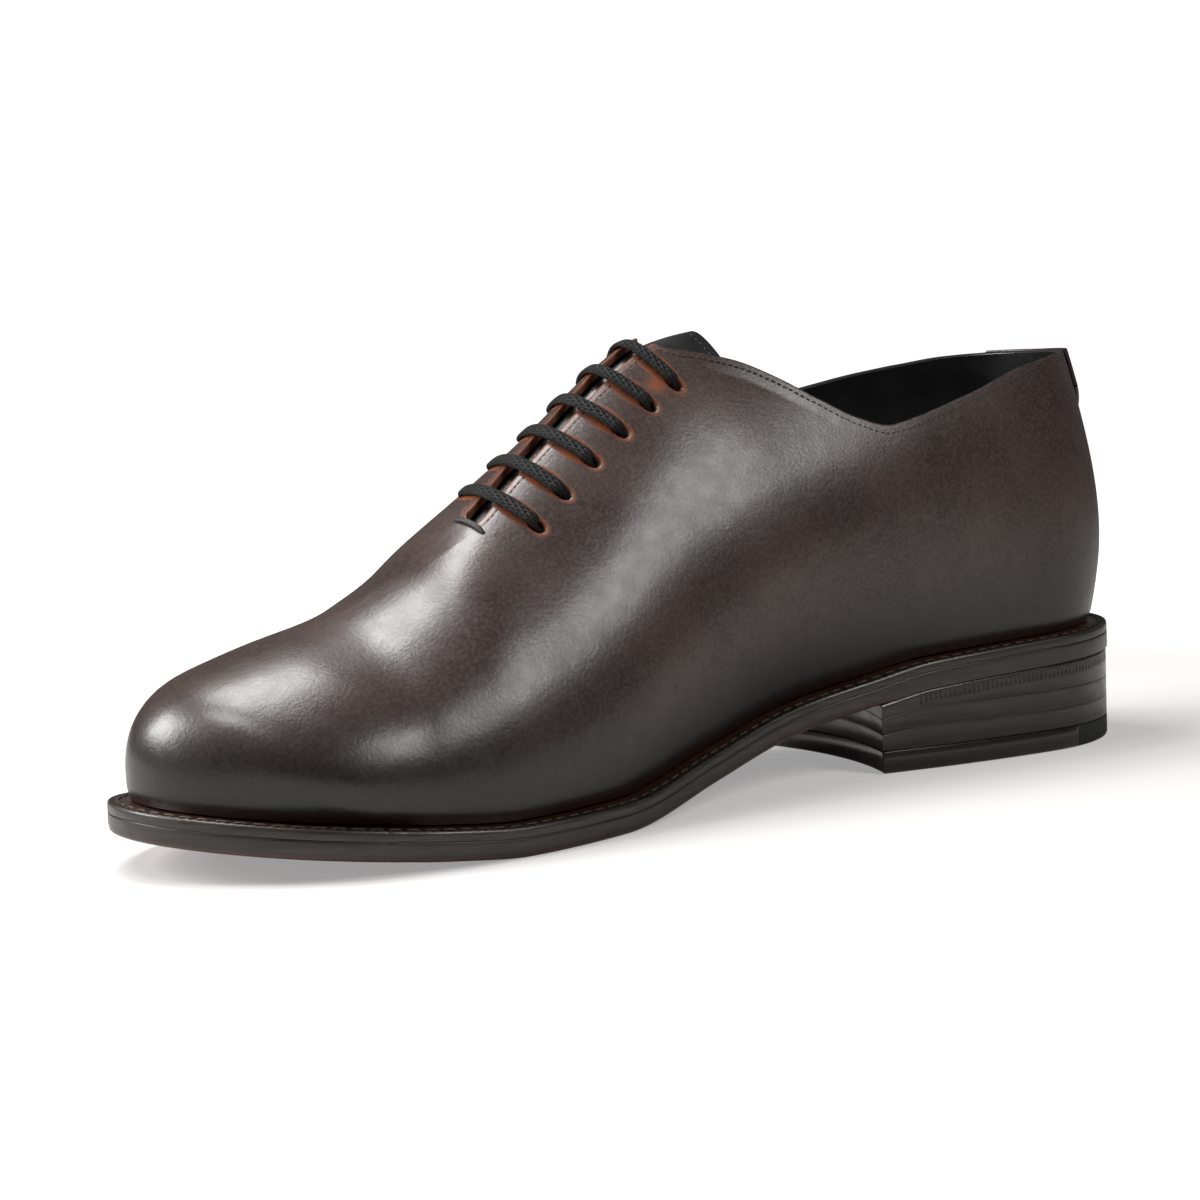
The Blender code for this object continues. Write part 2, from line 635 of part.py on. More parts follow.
def make_upper():
    """One hollow wall: a grid for each side, joined at the back and along the vamp."""
    stations, collar_count, open_count = upper_grid()
    rows = np.linspace(0.0, 1.0, WALL_ROWS + 1)
    skin = Skin()
    for inner in (True, False):
        top = top_angles(stations, collar_count, open_count, inner)
        angle = top[:, None] * rows[None, :]
        station = np.repeat(stations[:, None], len(rows), axis=1)
        folded = over_ridge(angle, inner)
        outer = placed(wall_point(station, *folded, 0.0))
        lining = wall_point(station, *folded, UPPER_WALL)
        lining[..., 2] = np.where(rows[None, :] == 0.0, 0.0, lining[..., 2])
        lining[-1, :, 2] = 0.0
        lining = placed(lining)
        outside, inside = skin.grid(outer), skin.grid(lining)
        skin.sheet(outside)
        skin.sheet(inside)
        skin.strip(outside[:, 0], inside[:, 0])
        skin.strip(outside[-1, :], inside[-1, :])
        skin.strip(outside[:open_count + 1, -1], inside[:open_count + 1, -1])
    upper = mesh_object("upper", *clean(skin), (0.045, 0.036, 0.034), 0.3)
    for number in range(EYELET_PAIRS):
        for inner in (True, False):
            bore_hole(upper, *eyelet(number, inner))
    return upper


def ridge_point(x, depth=0.0):
    return wall_point(station_at(x), math.pi / 2, True, depth)


def across_throat(x, widths, depth):
    """Points square across the ridge over the length x, at signed widths, at a depth."""
    widths = np.asarray(widths, float)
    inner = widths >= 0.0
    top = placed(ridge_point(x))
    ahead, behind = placed(ridge_point(x + 0.001)), placed(ridge_point(x - 0.001))
    slope = (behind[2] - ahead[2]) / (ahead[0] - behind[0])
    along = np.full(widths.shape, float(x))
    for _ in range(14):
        station = station_at(along)
        angle = angle_at_width(station, np.abs(widths), inner)
        drop = top[2] - placed(last_point(station, angle, inner))[..., 2]
        along = along + 0.6 * (x - slope * drop - along)
    return wall_point(station, angle, inner, depth)


def eyelet_x(number):
    """Length of a pair of lace holes on the ridge, counted from the foot of the throat."""
    fine = np.linspace(THROAT_FOOT * LAST_LENGTH, THROAT_TOP * LAST_LENGTH, 200)
    steps = np.linalg.norm(np.diff(placed(ridge_point(fine)), axis=0), axis=1)
    walked = np.concatenate(([0.0], np.cumsum(steps)))
    return float(np.interp(EYELET_FIRST + number * EYELET_PITCH, walked, fine))


def eyelet_out(number):
    return EYELET_OUT_FOOT + (EYELET_OUT_TOP - EYELET_OUT_FOOT) * number / (EYELET_PAIRS - 1)


def eyelet(number, inner):
    """Two points on a lace hole's axis, outside and inside the wall."""
    x = eyelet_x(number)
    width = swing(x) + (eyelet_out(number) if inner else -eyelet_out(number))
    outside = placed(across_throat(x, [width], -0.004))[0]
    inside = placed(across_throat(x, [width], UPPER_WALL + 0.001))[0]
    return outside, inside


def bore_hole(upper, outside, inside):
    """Cuts a round hole along the line between two points."""
    axis = outside - inside
    axis_length = np.linalg.norm(axis)
    axis = axis / axis_length
    aside = np.cross(axis, (1.0, 0.0, 0.0))
    aside /= np.linalg.norm(aside)
    up = np.cross(axis, aside)
    turns = np.linspace(0.0, 2 * math.pi, HOLE_SIDES, endpoint=False)
    ring = EYELET_RADIUS * (np.cos(turns)[:, None] * aside + np.sin(turns)[:, None] * up)
    points = np.vstack((inside + ring, outside + ring))
    count = HOLE_SIDES
    faces = [(i, (i + 1) % count, count + (i + 1) % count, count + i) for i in range(count)]
    faces += [tuple(range(count - 1, -1, -1)), tuple(range(count, 2 * count))]
    cutter = mesh_object("hole_cutter", points, faces, (1.0, 0.0, 0.0), 0.5)
    cut = upper.modifiers.new("lace hole", "BOOLEAN")
    cut.operation = "DIFFERENCE"
    cut.object = cutter
    cut.solver = "EXACT"
    bpy.context.view_layer.update()
    done = bpy.data.meshes.new_from_object(upper.evaluated_get(bpy.context.evaluated_depsgraph_get()))
    upper.modifiers.remove(cut)
    upper.data = done
    bpy.data.objects.remove(cutter)


def make_lace_bars():
    """A flat bar over the throat for each pair of holes, its ends turned into the holes."""
    for number in range(EYELET_PAIRS):
        x = eyelet_x(number)
        reach = eyelet_out(number)
        widths = swing(x) + np.linspace(-reach, reach, LACE_POINTS)
        over = LACE_THICK / 2 + LACE_CLEAR
        middle = placed(across_throat(x, widths, -over))
        under = placed(across_throat(x, widths, 0.0))
        normal = middle - under
        normal /= np.linalg.norm(normal, axis=1)[:, None]
        # The ends bend down in a short round and stop inside the wall
        ends = []
        for at, toward in ((0, 1), (-1, -2)):
            inward = middle[toward] - middle[at]
            inward /= np.linalg.norm(inward)
            down = -normal[at]
            turn = LACE_THICK
            arc = [middle[at] - inward * turn * 0.2 + down * turn * 0.35,
                   middle[at] - inward * turn * 0.25 + down * (over + LACE_DIP)]
            ends.append((arc, normal[at]))
        path = np.vstack((ends[0][0][::-1], middle, ends[1][0]))
        tangent = np.gradient(path, axis=0)
        tangent /= np.linalg.norm(tangent, axis=1)[:, None]
        along_ridge = placed(ridge_point(x + 0.002)) - placed(ridge_point(x - 0.002))
        side = along_ridge - tangent * (tangent @ along_ridge)[:, None]
        side /= np.linalg.norm(side, axis=1)[:, None]
        lift = np.cross(tangent, side)
        turns = np.linspace(0.0, 2 * math.pi, LACE_SIDES, endpoint=False)
        half_w, half_t = LACE_WIDTH / 2, LACE_THICK / 2
        rings = (path[:, None, :] + np.cos(turns)[None, :, None] * side[:, None, :] * half_w
                 + np.sin(turns)[None, :, None] * lift[:, None, :] * half_t)
        skin = Skin()
        numbers = skin.grid(np.concatenate((rings, rings[:, :1]), axis=1))
        skin.sheet(numbers)
        points, faces = clean(skin)
        faces += [tuple(int(n) for n in numbers[0, :-1]), tuple(int(n) for n in numbers[-1, :-1])]
        mesh_object(f"lace_bar_{number + 1}", points, faces, (0.012, 0.011, 0.011), 0.5)


def make_tongue():
    """A curved plate under the throat, wider than the lacing, that shows above it."""
    start = THROAT_FOOT * LAST_LENGTH + TONGUE_BELOW
    finish = THROAT_TOP * LAST_LENGTH - TONGUE_ABOVE
    top_depth = UPPER_WALL + TONGUE_CLEAR
    share = np.linspace(0.0, 1.0, TONGUE_ROWS)
    skin = Skin()
    sheets = []
    for depth in (top_depth, top_depth + TONGUE_THICK):
        lines = []
        for t in share:
            # The corners of both ends are rounded off
            tip = max(0.0, t - 1.0 + TONGUE_TIP) / TONGUE_TIP
            foot = 1.0 - min(1.0, t / TONGUE_FOOT)
            half = TONGUE_HALF * (1.0 - TONGUE_TIP_NARROW * tip**2) * (1.0 - (1.0 - TONGUE_FOOT_WIDE) * foot)
            x = start + (finish - start) * t
            widths = swing(x) + half * np.linspace(-1.0, 1.0, TONGUE_LINES)
            sunk = depth + TONGUE_DROP * max(0.0, t - 1.0 + TONGUE_SINK) / TONGUE_SINK
            lines.append(placed(across_throat(x, widths, sunk)))
        sheets.append(skin.grid(np.array(lines)))
    top, under = sheets
    skin.sheet(top)
    skin.sheet(under)
    for edge in (np.s_[0, :], np.s_[-1, :], np.s_[:, 0], np.s_[:, -1]):
        skin.strip(top[edge], under[edge])
    return mesh_object("tongue", *clean(skin), (0.012, 0.011, 0.011), 0.35)


def make_heel_tab():
    """Small overlay over the top of the back seam, with a rounded lower edge."""
    turns = np.linspace(-1.0, 1.0, TAB_LINES)
    rows = np.linspace(0.0, 1.0, TAB_ROWS)
    skin = Skin()
    sheets = []
    for depth in (-FIT_GAP, -FIT_GAP - TAB_THICK):
        lines = []
        for turn in turns:
            inner = turn >= 0.0
            station = FAN_STATION * abs(turn) * TAB_HALF_ANGLE / (math.pi / 2)
            x = HEEL_FAN * (1.0 - math.cos(station / FAN_STATION * math.pi / 2))
            high = COLLAR_TURN[True](x)
            section = SECTION["top"](station) * INSTEP_HEIGHT
            low = angle_at_height(station, section * math.sin(high) - TAB_HEIGHT * math.sqrt(1.0 - 0.75 * turn**2))
            angle = low + (high - low) * rows
            lines.append(placed(wall_point(np.full(TAB_ROWS, station), angle, inner, depth)))
        sheets.append(skin.grid(np.array(lines)))
    outer, inside = sheets
    skin.sheet(outer)
    skin.sheet(inside)
    for edge in (np.s_[0, :], np.s_[-1, :], np.s_[:, 0], np.s_[:, -1]):
        skin.strip(outer[edge], inside[edge])
    return mesh_object("heel_tab", *clean(skin), (0.03, 0.025, 0.024), 0.3)


def main():
    for thing in list(bpy.data.objects):
        bpy.data.objects.remove(thing)
    make_outsole()
    make_welt()
    make_insole()
    make_heel()
    make_upper()
    make_tongue()
    make_lace_bars()
    make_heel_tab()


main()
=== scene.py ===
# Looks of the whole cut oxford, right shoe, standing empty in a plain pale studio.
# Metres, +X to the toe, +Y to the inner side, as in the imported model.
import math

import bmesh
import bpy
import numpy as np
from mathutils import Matrix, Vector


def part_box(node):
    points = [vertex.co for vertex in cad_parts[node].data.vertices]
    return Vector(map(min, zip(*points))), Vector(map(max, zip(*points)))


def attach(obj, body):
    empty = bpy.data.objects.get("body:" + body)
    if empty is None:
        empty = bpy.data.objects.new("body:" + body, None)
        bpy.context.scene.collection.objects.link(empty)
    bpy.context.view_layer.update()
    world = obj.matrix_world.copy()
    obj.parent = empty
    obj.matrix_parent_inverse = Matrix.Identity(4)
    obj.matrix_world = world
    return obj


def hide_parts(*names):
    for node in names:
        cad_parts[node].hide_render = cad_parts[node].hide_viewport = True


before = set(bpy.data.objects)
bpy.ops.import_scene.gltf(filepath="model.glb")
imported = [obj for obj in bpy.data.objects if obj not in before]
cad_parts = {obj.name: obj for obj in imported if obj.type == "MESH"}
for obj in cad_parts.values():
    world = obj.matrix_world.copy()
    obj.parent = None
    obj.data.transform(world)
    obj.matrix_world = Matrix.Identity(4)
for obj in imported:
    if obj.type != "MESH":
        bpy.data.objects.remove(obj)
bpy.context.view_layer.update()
print("frame loaded")


# Small helpers

def hexColour(text):
    # sRGB hex to linear: c/12.92 up to 0.04045, else ((c + 0.055)/1.055)^2.4.
    parts = [int(text[i:i + 2], 16) / 255 for i in (1, 3, 5)]
    return (*[c / 12.92 if c <= 0.04045 else ((c + 0.055) / 1.055) ** 2.4 for c in parts], 1.0)


def setSockets(tree, node, values):
    # A value is a constant, or the output that is linked to the socket.
    for name, value in values.items():
        if isinstance(value, bpy.types.NodeSocket):
            tree.links.new(value, node.inputs[name])
        else:
            node.inputs[name].default_value = value


def addNode(tree, kind, inputs=None, **settings):
    node = tree.nodes.new(kind)
    for name, value in settings.items():
        setattr(node, name, value)
    setSockets(tree, node, inputs or {})
    return node


def newMaterial(name):
    # Material, its tree, its shader, and the object's own coordinates.
    material = bpy.data.materials.new(name)
    material.use_nodes = True
    tree = material.node_tree
    place = addNode(tree, "ShaderNodeTexCoord").outputs["Object"]
    return material, tree, tree.nodes["Principled BSDF"], place


def mixColour(tree, factor, first, second):
    # Colours are outputs or hex texts.
    first, second = (hexColour(colour) if isinstance(colour, str) else colour for colour in (first, second))
    return addNode(tree, "ShaderNodeMix", {0: factor, 6: first, 7: second}, data_type="RGBA").outputs[2]


def ramp(tree, value, low, high, start=0.0, end=1.0):
    return addNode(tree, "ShaderNodeMapRange", {0: value, 1: low, 2: high, 3: start, 4: end},
                   interpolation_type="SMOOTHSTEP").outputs[0]


def noise(tree, place, scale, detail=3.0, roughness=0.5):
    return addNode(tree, "ShaderNodeTexNoise", {"Vector": place, "Scale": scale, "Detail": detail,
                                                "Roughness": roughness}).outputs[0]


def maths(tree, operation, *values, **settings):
    return addNode(tree, "ShaderNodeMath", dict(enumerate(values)), operation=operation, **settings).outputs[0]


def readValue(tree, name):
    return addNode(tree, "ShaderNodeAttribute", attribute_name=name).outputs["Fac"]


def bumped(tree, height, strength, distance=0.0002, **more):
    return addNode(tree, "ShaderNodeBump", {"Height": height, "Strength": strength, "Distance": distance,
                                            **more}).outputs[0]


def gridFaces(numbers):
    # Quads between neighbouring rows and columns of a grid of point numbers.
    a, b, c, d = numbers[:-1, :-1], numbers[:-1, 1:], numbers[1:, 1:], numbers[1:, :-1]
    return np.stack((a, b, c, d), axis=-1).reshape(-1, 4)


def addObject(name, data):
    thing = bpy.data.objects.new(name, data)
    bpy.context.scene.collection.objects.link(thing)
    return thing


def putPiece(name, grids, material, nodes=(), values=None, uvs=None, merge=2e-7, outward=True):
    # Grids of points become one smooth piece of the standing shoe, with a float attribute for
    # each of values and a UV map from uvs. Points closer than merge become one.
    counts = [grid.shape[0] * grid.shape[1] for grid in grids]
    starts = np.concatenate(([0], np.cumsum(counts)))
    points = np.concatenate([grid.reshape(-1, 3) for grid in grids])
    faces = np.concatenate([
        gridFaces(np.arange(start, start + count).reshape(grid.shape[:2]))
        for grid, start, count in zip(grids, starts, counts)])
    mesh = bpy.data.meshes.new(name)
    mesh.from_pydata(points, [], faces)
    for key, parts in (values or {}).items():
        layer = mesh.attributes.new(key, "FLOAT", "POINT")
        layer.data.foreach_set("value", np.concatenate([np.asarray(part, float).ravel() for part in parts]))
    if uvs is not None:
        flat = np.concatenate([uv.reshape(-1, 2) for uv in uvs])
        layer = mesh.uv_layers.new(name="UVMap")
        layer.data.foreach_set("uv", flat[faces.ravel()].ravel())
    work = bmesh.new()
    work.from_mesh(mesh)
    bmesh.ops.remove_doubles(work, verts=work.verts, dist=merge)
    bmesh.ops.dissolve_degenerate(work, edges=work.edges, dist=1e-8)
    if outward:
        bmesh.ops.recalc_face_normals(work, faces=work.faces)
    work.to_mesh(mesh)
    work.free()
    mesh.shade_smooth()
    mesh.materials.append(material)
    piece = addObject(name, mesh)
    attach(piece, "root")
    if nodes:
        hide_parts(*nodes)


def spread(*runs):
    # Joins runs of (start, end, count, power) into one list without repeats.
    parts = [start + (end - start) * (1 - (1 - np.linspace(0, 1, count + 1)[:-1]) ** power)
             for start, end, count, power in runs]
    return np.concatenate(parts + [[runs[-1][1]]])


def unit(vectors):
    return vectors / np.maximum(np.linalg.norm(vectors, axis=-1, keepdims=True), 1e-12)


def shareOf(value, start, end):
    # 0 at start and before it, 1 at end and past it. The end may be the smaller number.
    return np.clip((value - start) / (end - start), 0.0, 1.0)


def bell(distance, width, power=2):
    return np.exp(-(distance / width) ** power)


def walkedAlong(line):
    # Length walked along a line up to each of its points.
    return np.concatenate(([0.0], np.cumsum(np.linalg.norm(np.diff(line, axis=0), axis=1))))


def smoothCurve(xs, ys):
    # Natural cubic spline through the points.
    xs, ys = np.asarray(xs, float), np.asarray(ys, float)
    step, count = np.diff(xs), len(xs)
    matrix, right = np.eye(count), np.zeros(count)
    for i in range(1, count - 1):
        matrix[i, i - 1:i + 2] = step[i - 1], 2 * (step[i - 1] + step[i]), step[i]
        right[i] = 6 * ((ys[i + 1] - ys[i]) / step[i] - (ys[i] - ys[i - 1]) / step[i - 1])
    bend = np.linalg.solve(matrix, right)

    def curve(x):
        i = np.clip(np.searchsorted(xs, x) - 1, 0, count - 2)
        t, h = x - xs[i], step[i]
        slope = (ys[i + 1] - ys[i]) / h - h * (2 * bend[i] + bend[i + 1]) / 6
        return ys[i] + slope * t + bend[i] * t**2 / 2 + (bend[i + 1] - bend[i]) * t**3 / (6 * h)

    return curve


def steadyCurve(xs, ys):
    # Cubic through the points that never overshoots: tangents are harmonic means.
    xs, ys = np.asarray(xs, float), np.asarray(ys, float)
    step, slope = np.diff(xs), np.diff(ys) / np.diff(xs)
    tangent = np.zeros(len(xs))
    tangent[0], tangent[-1] = slope[0], slope[-1]
    for i in range(1, len(xs) - 1):
        if slope[i - 1] * slope[i] > 0:
            first, second = 2 * step[i] + step[i - 1], step[i] + 2 * step[i - 1]
            tangent[i] = (first + second) / (first / slope[i - 1] + second / slope[i])

    def curve(x):
        i = np.clip(np.searchsorted(xs, x) - 1, 0, len(xs) - 2)
        h = step[i]
        t = np.clip((x - xs[i]) / h, 0.0, 1.0)
        return ((1 + 2 * t) * (1 - t)**2 * ys[i] + t * (1 - t)**2 * h * tangent[i]
                + t**2 * (3 - 2 * t) * ys[i + 1] - t**2 * (1 - t) * h * tangent[i + 1])

    return curve


# The last, with the sizes of the part's source

last = {
    "length": 0.292, "ballWidth": 0.092, "instep": 0.100, "heelFan": 0.038, "heelRound": 2.25,
    "midShare": 0.3, "highShare": 0.7, "throatTop": 0.498, "throatFoot": 0.700, "throatGap": 0.0054,
    "throatEnd": 0.0015, "wall": 0.0020,
}
sole = {
    "weltShow": 0.0048, "weltFoot": 0.0046, "weltTop": 0.0074, "feather": 0.0078,
    "insoleRise": 0.0016, "insoleIn": 0.0027,
}
sectionColumns = ("at", "reach", "top", "crown", "lean",
                  "inLow", "inMid", "inHigh", "outLow", "outMid", "outHigh")
sections = np.array((
    (0.000, 0.000, 1.22, 4.00, 0.000, 0.326, 0.362, 0.285, 0.326, 0.362, 0.285),
    (0.130, 0.000, 1.21, 3.90, 0.000, 0.326, 0.372, 0.310, 0.332, 0.372, 0.310),
    (0.257, 0.000, 1.12, 3.40, -0.010, 0.283, 0.378, 0.345, 0.337, 0.388, 0.345),
    (0.377, 0.000, 1.045, 2.80, -0.025, 0.228, 0.378, 0.378, 0.359, 0.413, 0.362),
    (0.497, 0.000, 1.035, 2.35, -0.030, 0.283, 0.408, 0.400, 0.418, 0.444, 0.372),
    (0.582, 0.000, 0.930, 2.25, -0.018, 0.370, 0.448, 0.412, 0.478, 0.480, 0.412),
    (0.682, 0.000, 0.730, 2.40, -0.006, 0.462, 0.495, 0.448, 0.516, 0.515, 0.478),
    (0.747, 0.000, 0.594, 2.45, 0.000, 0.484, 0.505, 0.467, 0.500, 0.508, 0.464),
    (0.805, 0.000, 0.483, 2.30, 0.000, 0.473, 0.500, 0.467, 0.457, 0.478, 0.452),
    (0.825, 0.041, 0.405, 2.35, 0.000, 0.463, 0.491, 0.470, 0.4365, 0.460, 0.440),
    (0.839, 0.082, 0.340, 2.35, 0.000, 0.452, 0.484, 0.460, 0.4215, 0.446, 0.424),
    (0.849, 0.121, 0.263, 2.35, 0.000, 0.446, 0.467, 0.434, 0.4105, 0.429, 0.394),
    (0.854, 0.1415, 0.163, 2.35, 0.000, 0.441, 0.443, 0.400, 0.405, 0.400, 0.357),
    (0.8555, 0.1455, 0.083, 2.30, 0.000, 0.440, 0.425, 0.384, 0.4033, 0.377, 0.336),
    (0.856, 0.144, 0.000, 2.30, 0.000, 0.440, 0.411, 0.372, 0.4027, 0.358, 0.322),
))
# Height and forward of the back line, in shares of the instep's height and the length
backRows = np.array(((0.00, 0.000), (0.20, -0.012), (0.40, -0.006), (0.64, 0.014), (1.05, 0.045)))
# Collar: share of the length, then shares of a right angle on the inner and the outer side
collarRows = np.array((
    (0.000, 0.435, 0.435), (0.070, 0.433, 0.434), (0.130, 0.424, 0.430), (0.205, 0.405, 0.437),
    (0.257, 0.402, 0.446), (0.297, 0.412, 0.456), (0.335, 0.461, 0.480), (0.366, 0.526, 0.530),
    (0.400, 0.610, 0.610), (0.4265, 0.675, 0.675), (0.4485, 0.722, 0.722), (0.4665, 0.765, 0.765),
    (0.481, 0.802, 0.802), (0.490, 0.846, 0.846), (0.4955, 0.905, 0.905), (0.498, 0.960, 0.960),
))
# The throat's line beside the ridge, and the underside of the sole: share of the length, metres
swingRows = np.array((
    (0.400, 0.0030), (0.498, 0.0028), (0.550, 0.0034), (0.610, 0.0036), (0.650, 0.0048),
    (0.700, 0.0078), (0.760, 0.0044), (0.815, 0.0), (0.860, 0.0),
))
profileRows = np.array((
    (-0.027, 0.0262), (0.257, 0.0220), (0.325, 0.0182), (0.411, 0.0135), (0.514, 0.0063),
    (0.634, 0.0), (0.736, 0.0), (0.805, 0.0016), (0.908, 0.0052), (1.027, 0.0098),
))

topX = (sections[:, 0] + sections[:, 1]) * last["length"]
steps = np.hypot(np.diff(topX), np.diff(sections[:, 2] * last["instep"]))
steps = np.where(topX[1:] <= last["throatTop"] * last["length"], np.diff(topX), steps)
stations = np.concatenate(([0.0], np.cumsum(steps)))
section = {name: smoothCurve(stations, sections[:, i]) for i, name in enumerate(sectionColumns)}
section["at"] = steadyCurve(stations, sections[:, 0])
toeStation = stations[-1]
backCurve = smoothCurve(backRows[:, 0] * last["instep"], backRows[:, 1] * last["length"])
collarTurn = {True: steadyCurve(collarRows[:, 0] * last["length"], collarRows[:, 1] * math.pi / 2),
              False: steadyCurve(collarRows[:, 0] * last["length"], collarRows[:, 2] * math.pi / 2)}
soleUnder = steadyCurve(profileRows[:, 0] * last["length"], profileRows[:, 1])
swing = steadyCurve(swingRows[:, 0] * last["length"], swingRows[:, 1])
fineStations = np.linspace(0.0, toeStation, 3000)
fineTopX = (section["at"](fineStations) + section["reach"](fineStations)) * last["length"]
fineTopX = np.maximum.accumulate(fineTopX)


def stationAt(x):
    return np.interp(x, fineTopX, fineStations)


fanStation = stationAt(last["heelFan"])
throatTopStation = stationAt(last["throatTop"] * last["length"])
throatFootStation = stationAt(last["throatFoot"] * last["length"])


def halfWidth(station, share, inner):
    # Parabola through the low, mid and high widths, times the crown sqrt(1 - share^p).
    low, mid, high = (np.where(inner, section["in" + name](station), section["out" + name](station))
                      for name in ("Low", "Mid", "High"))
    first = (mid - low) / last["midShare"]
    second = ((high - mid) / (last["highShare"] - last["midShare"]) - first) / last["highShare"]
    body = low + first * share + second * share * (share - last["midShare"])
    crown = np.sqrt(np.maximum(0.0, 1.0 - share ** section["crown"](station)))
    return body * crown * last["ballWidth"]


def lastPoint(station, angle, inner):
    # Point of the last over a flat feather line; share of the height is sin(angle). Behind
    # heelFan the sections fan out round the back as a superellipse in plan.
    station, angle, inner = np.broadcast_arrays(np.asarray(station, float), angle, inner)
    share = np.sin(angle)
    sign = np.where(inner, 1.0, -1.0)
    x = (section["at"](station) + section["reach"](station) * share) * last["length"]
    height = section["top"](station) * last["instep"] * share
    y = sign * halfWidth(station, share, inner) + section["lean"](station) * last["ballWidth"] * share
    turn = np.clip((fanStation - station) / fanStation, 0.0, 1.0) * math.pi / 2
    fanX = last["heelFan"] - (last["heelFan"] - backCurve(height)) * np.sin(turn) ** (2 / last["heelRound"])
    fanWidth = halfWidth(np.clip(fanX, 0.0, None), share, inner)
    fanY = sign * fanWidth * np.abs(np.cos(turn)) ** (2 / last["heelRound"])
    behind = station < fanStation
    return np.stack((np.where(behind, fanX, x), np.where(behind, fanY, y), height), axis=-1)


def wallPoint(station, angle, inner, depth):
    # Point at a depth under the last's surface, along the normal from the cross product of
    # the two tangents. On the middle line the normal has no part across.
    station, angle, inner = np.broadcast_arrays(np.asarray(station, float), angle, inner)
    small = 1e-4
    safe = np.clip(angle, math.radians(3), math.pi / 2 - small)
    near = np.clip(station, small, toeStation - small)
    along = lastPoint(near + small, safe, inner) - lastPoint(near - small, safe, inner)
    upward = lastPoint(near, safe + small, inner) - lastPoint(near, safe - small, inner)
    normal = np.cross(along, upward) * np.where(inner, -1.0, 1.0)[..., None]
    ridge = lastPoint(near + small, math.pi / 2, True) - lastPoint(near - small, math.pi / 2, True)
    middle = np.stack((-ridge[..., 2], np.zeros(ridge.shape[:-1]), ridge[..., 0]), axis=-1)
    normal = np.where((angle > math.pi / 2 - small)[..., None], middle, normal)
    rear = lastPoint(0.0, safe + small, True) - lastPoint(0.0, safe - small, True)
    behind = np.stack((-rear[..., 2], np.zeros(rear.shape[:-1]), rear[..., 0]), axis=-1)
    normal = np.where((station < small)[..., None], behind, normal)
    return lastPoint(station, angle, inner) - unit(normal) * np.asarray(depth)[..., None]


def featherLine(inner):
    # Plan outline of the last at the feather line, from the back to the tip of the toe.
    along = np.concatenate((np.linspace(0.0, fanStation, 90, endpoint=False),
                            np.linspace(fanStation, toeStation, 200, endpoint=False)))
    side = lastPoint(along, 0.0, inner)
    front = lastPoint(toeStation, np.linspace(0.0, math.pi / 2, 90), inner)
    line = np.vstack((side, front))[:, :2]
    line[0, 1] = line[-1, 1] = 0.0
    return line


def evenly(line, count):
    # The line walked in even steps.
    walked = walkedAlong(line)
    even = np.linspace(0.0, walked[-1], count)
    return np.stack([np.interp(even, walked, line[:, k]) for k in range(line.shape[1])], axis=1)


loopCount = 2400
halfLoop = evenly(featherLine(True), loopCount // 2 + 1), evenly(featherLine(False), loopCount // 2 + 1)
featherLoop = evenly(np.vstack((halfLoop[0], halfLoop[1][-2::-1])), loopCount + 1)[:-1]
loopTangent = unit(np.roll(featherLoop, -3, axis=0) - np.roll(featherLoop, 3, axis=0))
loopNormal = np.stack((-loopTangent[:, 1], loopTangent[:, 0]), axis=1)
loopLength = walkedAlong(np.vstack((featherLoop, featherLoop[:1])))[-1]
outerLoop = featherLoop + loopNormal * sole["weltShow"]

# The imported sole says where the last's own zero lies in the frame
soleLow, soleHigh = (np.array(corner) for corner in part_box("outsole"))
middle = np.array((-sole["weltShow"] - soleLow[0], outerLoop[:, 1].max() - soleHigh[1]))


def placed(points, rise=sole["feather"]):
    # A point over the flat feather line, lifted by the curve of the sole under it.
    points = np.asarray(points, float)
    bent = points.copy()
    bent[..., 2] += soleUnder(points[..., 0]) + rise
    bent[..., :2] -= middle
    return bent


def angleAtWidth(station, width, inner):
    # Angle near the ridge where a section is a half width wide, by halving.
    station, width, inner = np.broadcast_arrays(station, width, inner)
    low = np.full(width.shape, math.radians(25))
    high = np.full(width.shape, math.pi / 2)
    for _ in range(36):
        half = (low + high) / 2
        wide = halfWidth(station, np.sin(half), inner) > width
        low, high = np.where(wide, half, low), np.where(wide, high, half)
    return (low + high) / 2


def acrossThroat(x, widths):
    # Station and angle of the points square across the ridge over the length x.
    widths = np.asarray(widths, float)
    inner = widths >= 0.0
    top, ahead, behind = (placed(lastPoint(stationAt(x + step), math.pi / 2, True))
                          for step in (0.0, 0.001, -0.001))
    slope = (behind[..., 2] - ahead[..., 2]) / (ahead[..., 0] - behind[..., 0])
    along = np.broadcast_to(x, widths.shape).astype(float)
    for _ in range(14):
        station = stationAt(along)
        angle = angleAtWidth(station, np.abs(widths), inner)
        drop = top[..., 2] - placed(lastPoint(station, angle, inner))[..., 2]
        along = along + 0.6 * (x - slope * drop - along)
    return station, angle, inner


def overRidge(angle, inner):
    # An angle past the ridge, as one on the other side.
    past = angle > math.pi / 2
    return np.where(past, math.pi - angle, angle), np.where(past, np.logical_not(inner), inner)


def throatPoint(x, width):
    return placed(lastPoint(*acrossThroat(x, [width])))[0]


def angleBeside(station, width, inner):
    # Angle at a signed width to the inner side, counted up from one side's feather line.
    here = angleAtWidth(station, np.abs(width), width >= 0.0)
    here = np.where(np.abs(width) < 1e-7, math.pi / 2, here)
    return np.where((width >= 0.0) == inner, here, math.pi - here)


def onWall(station, angle, inner, depth):
    # A point of the wall; its angle may run on past the ridge.
    return wallPoint(station, *overRidge(angle + 0 * station, inner), depth)


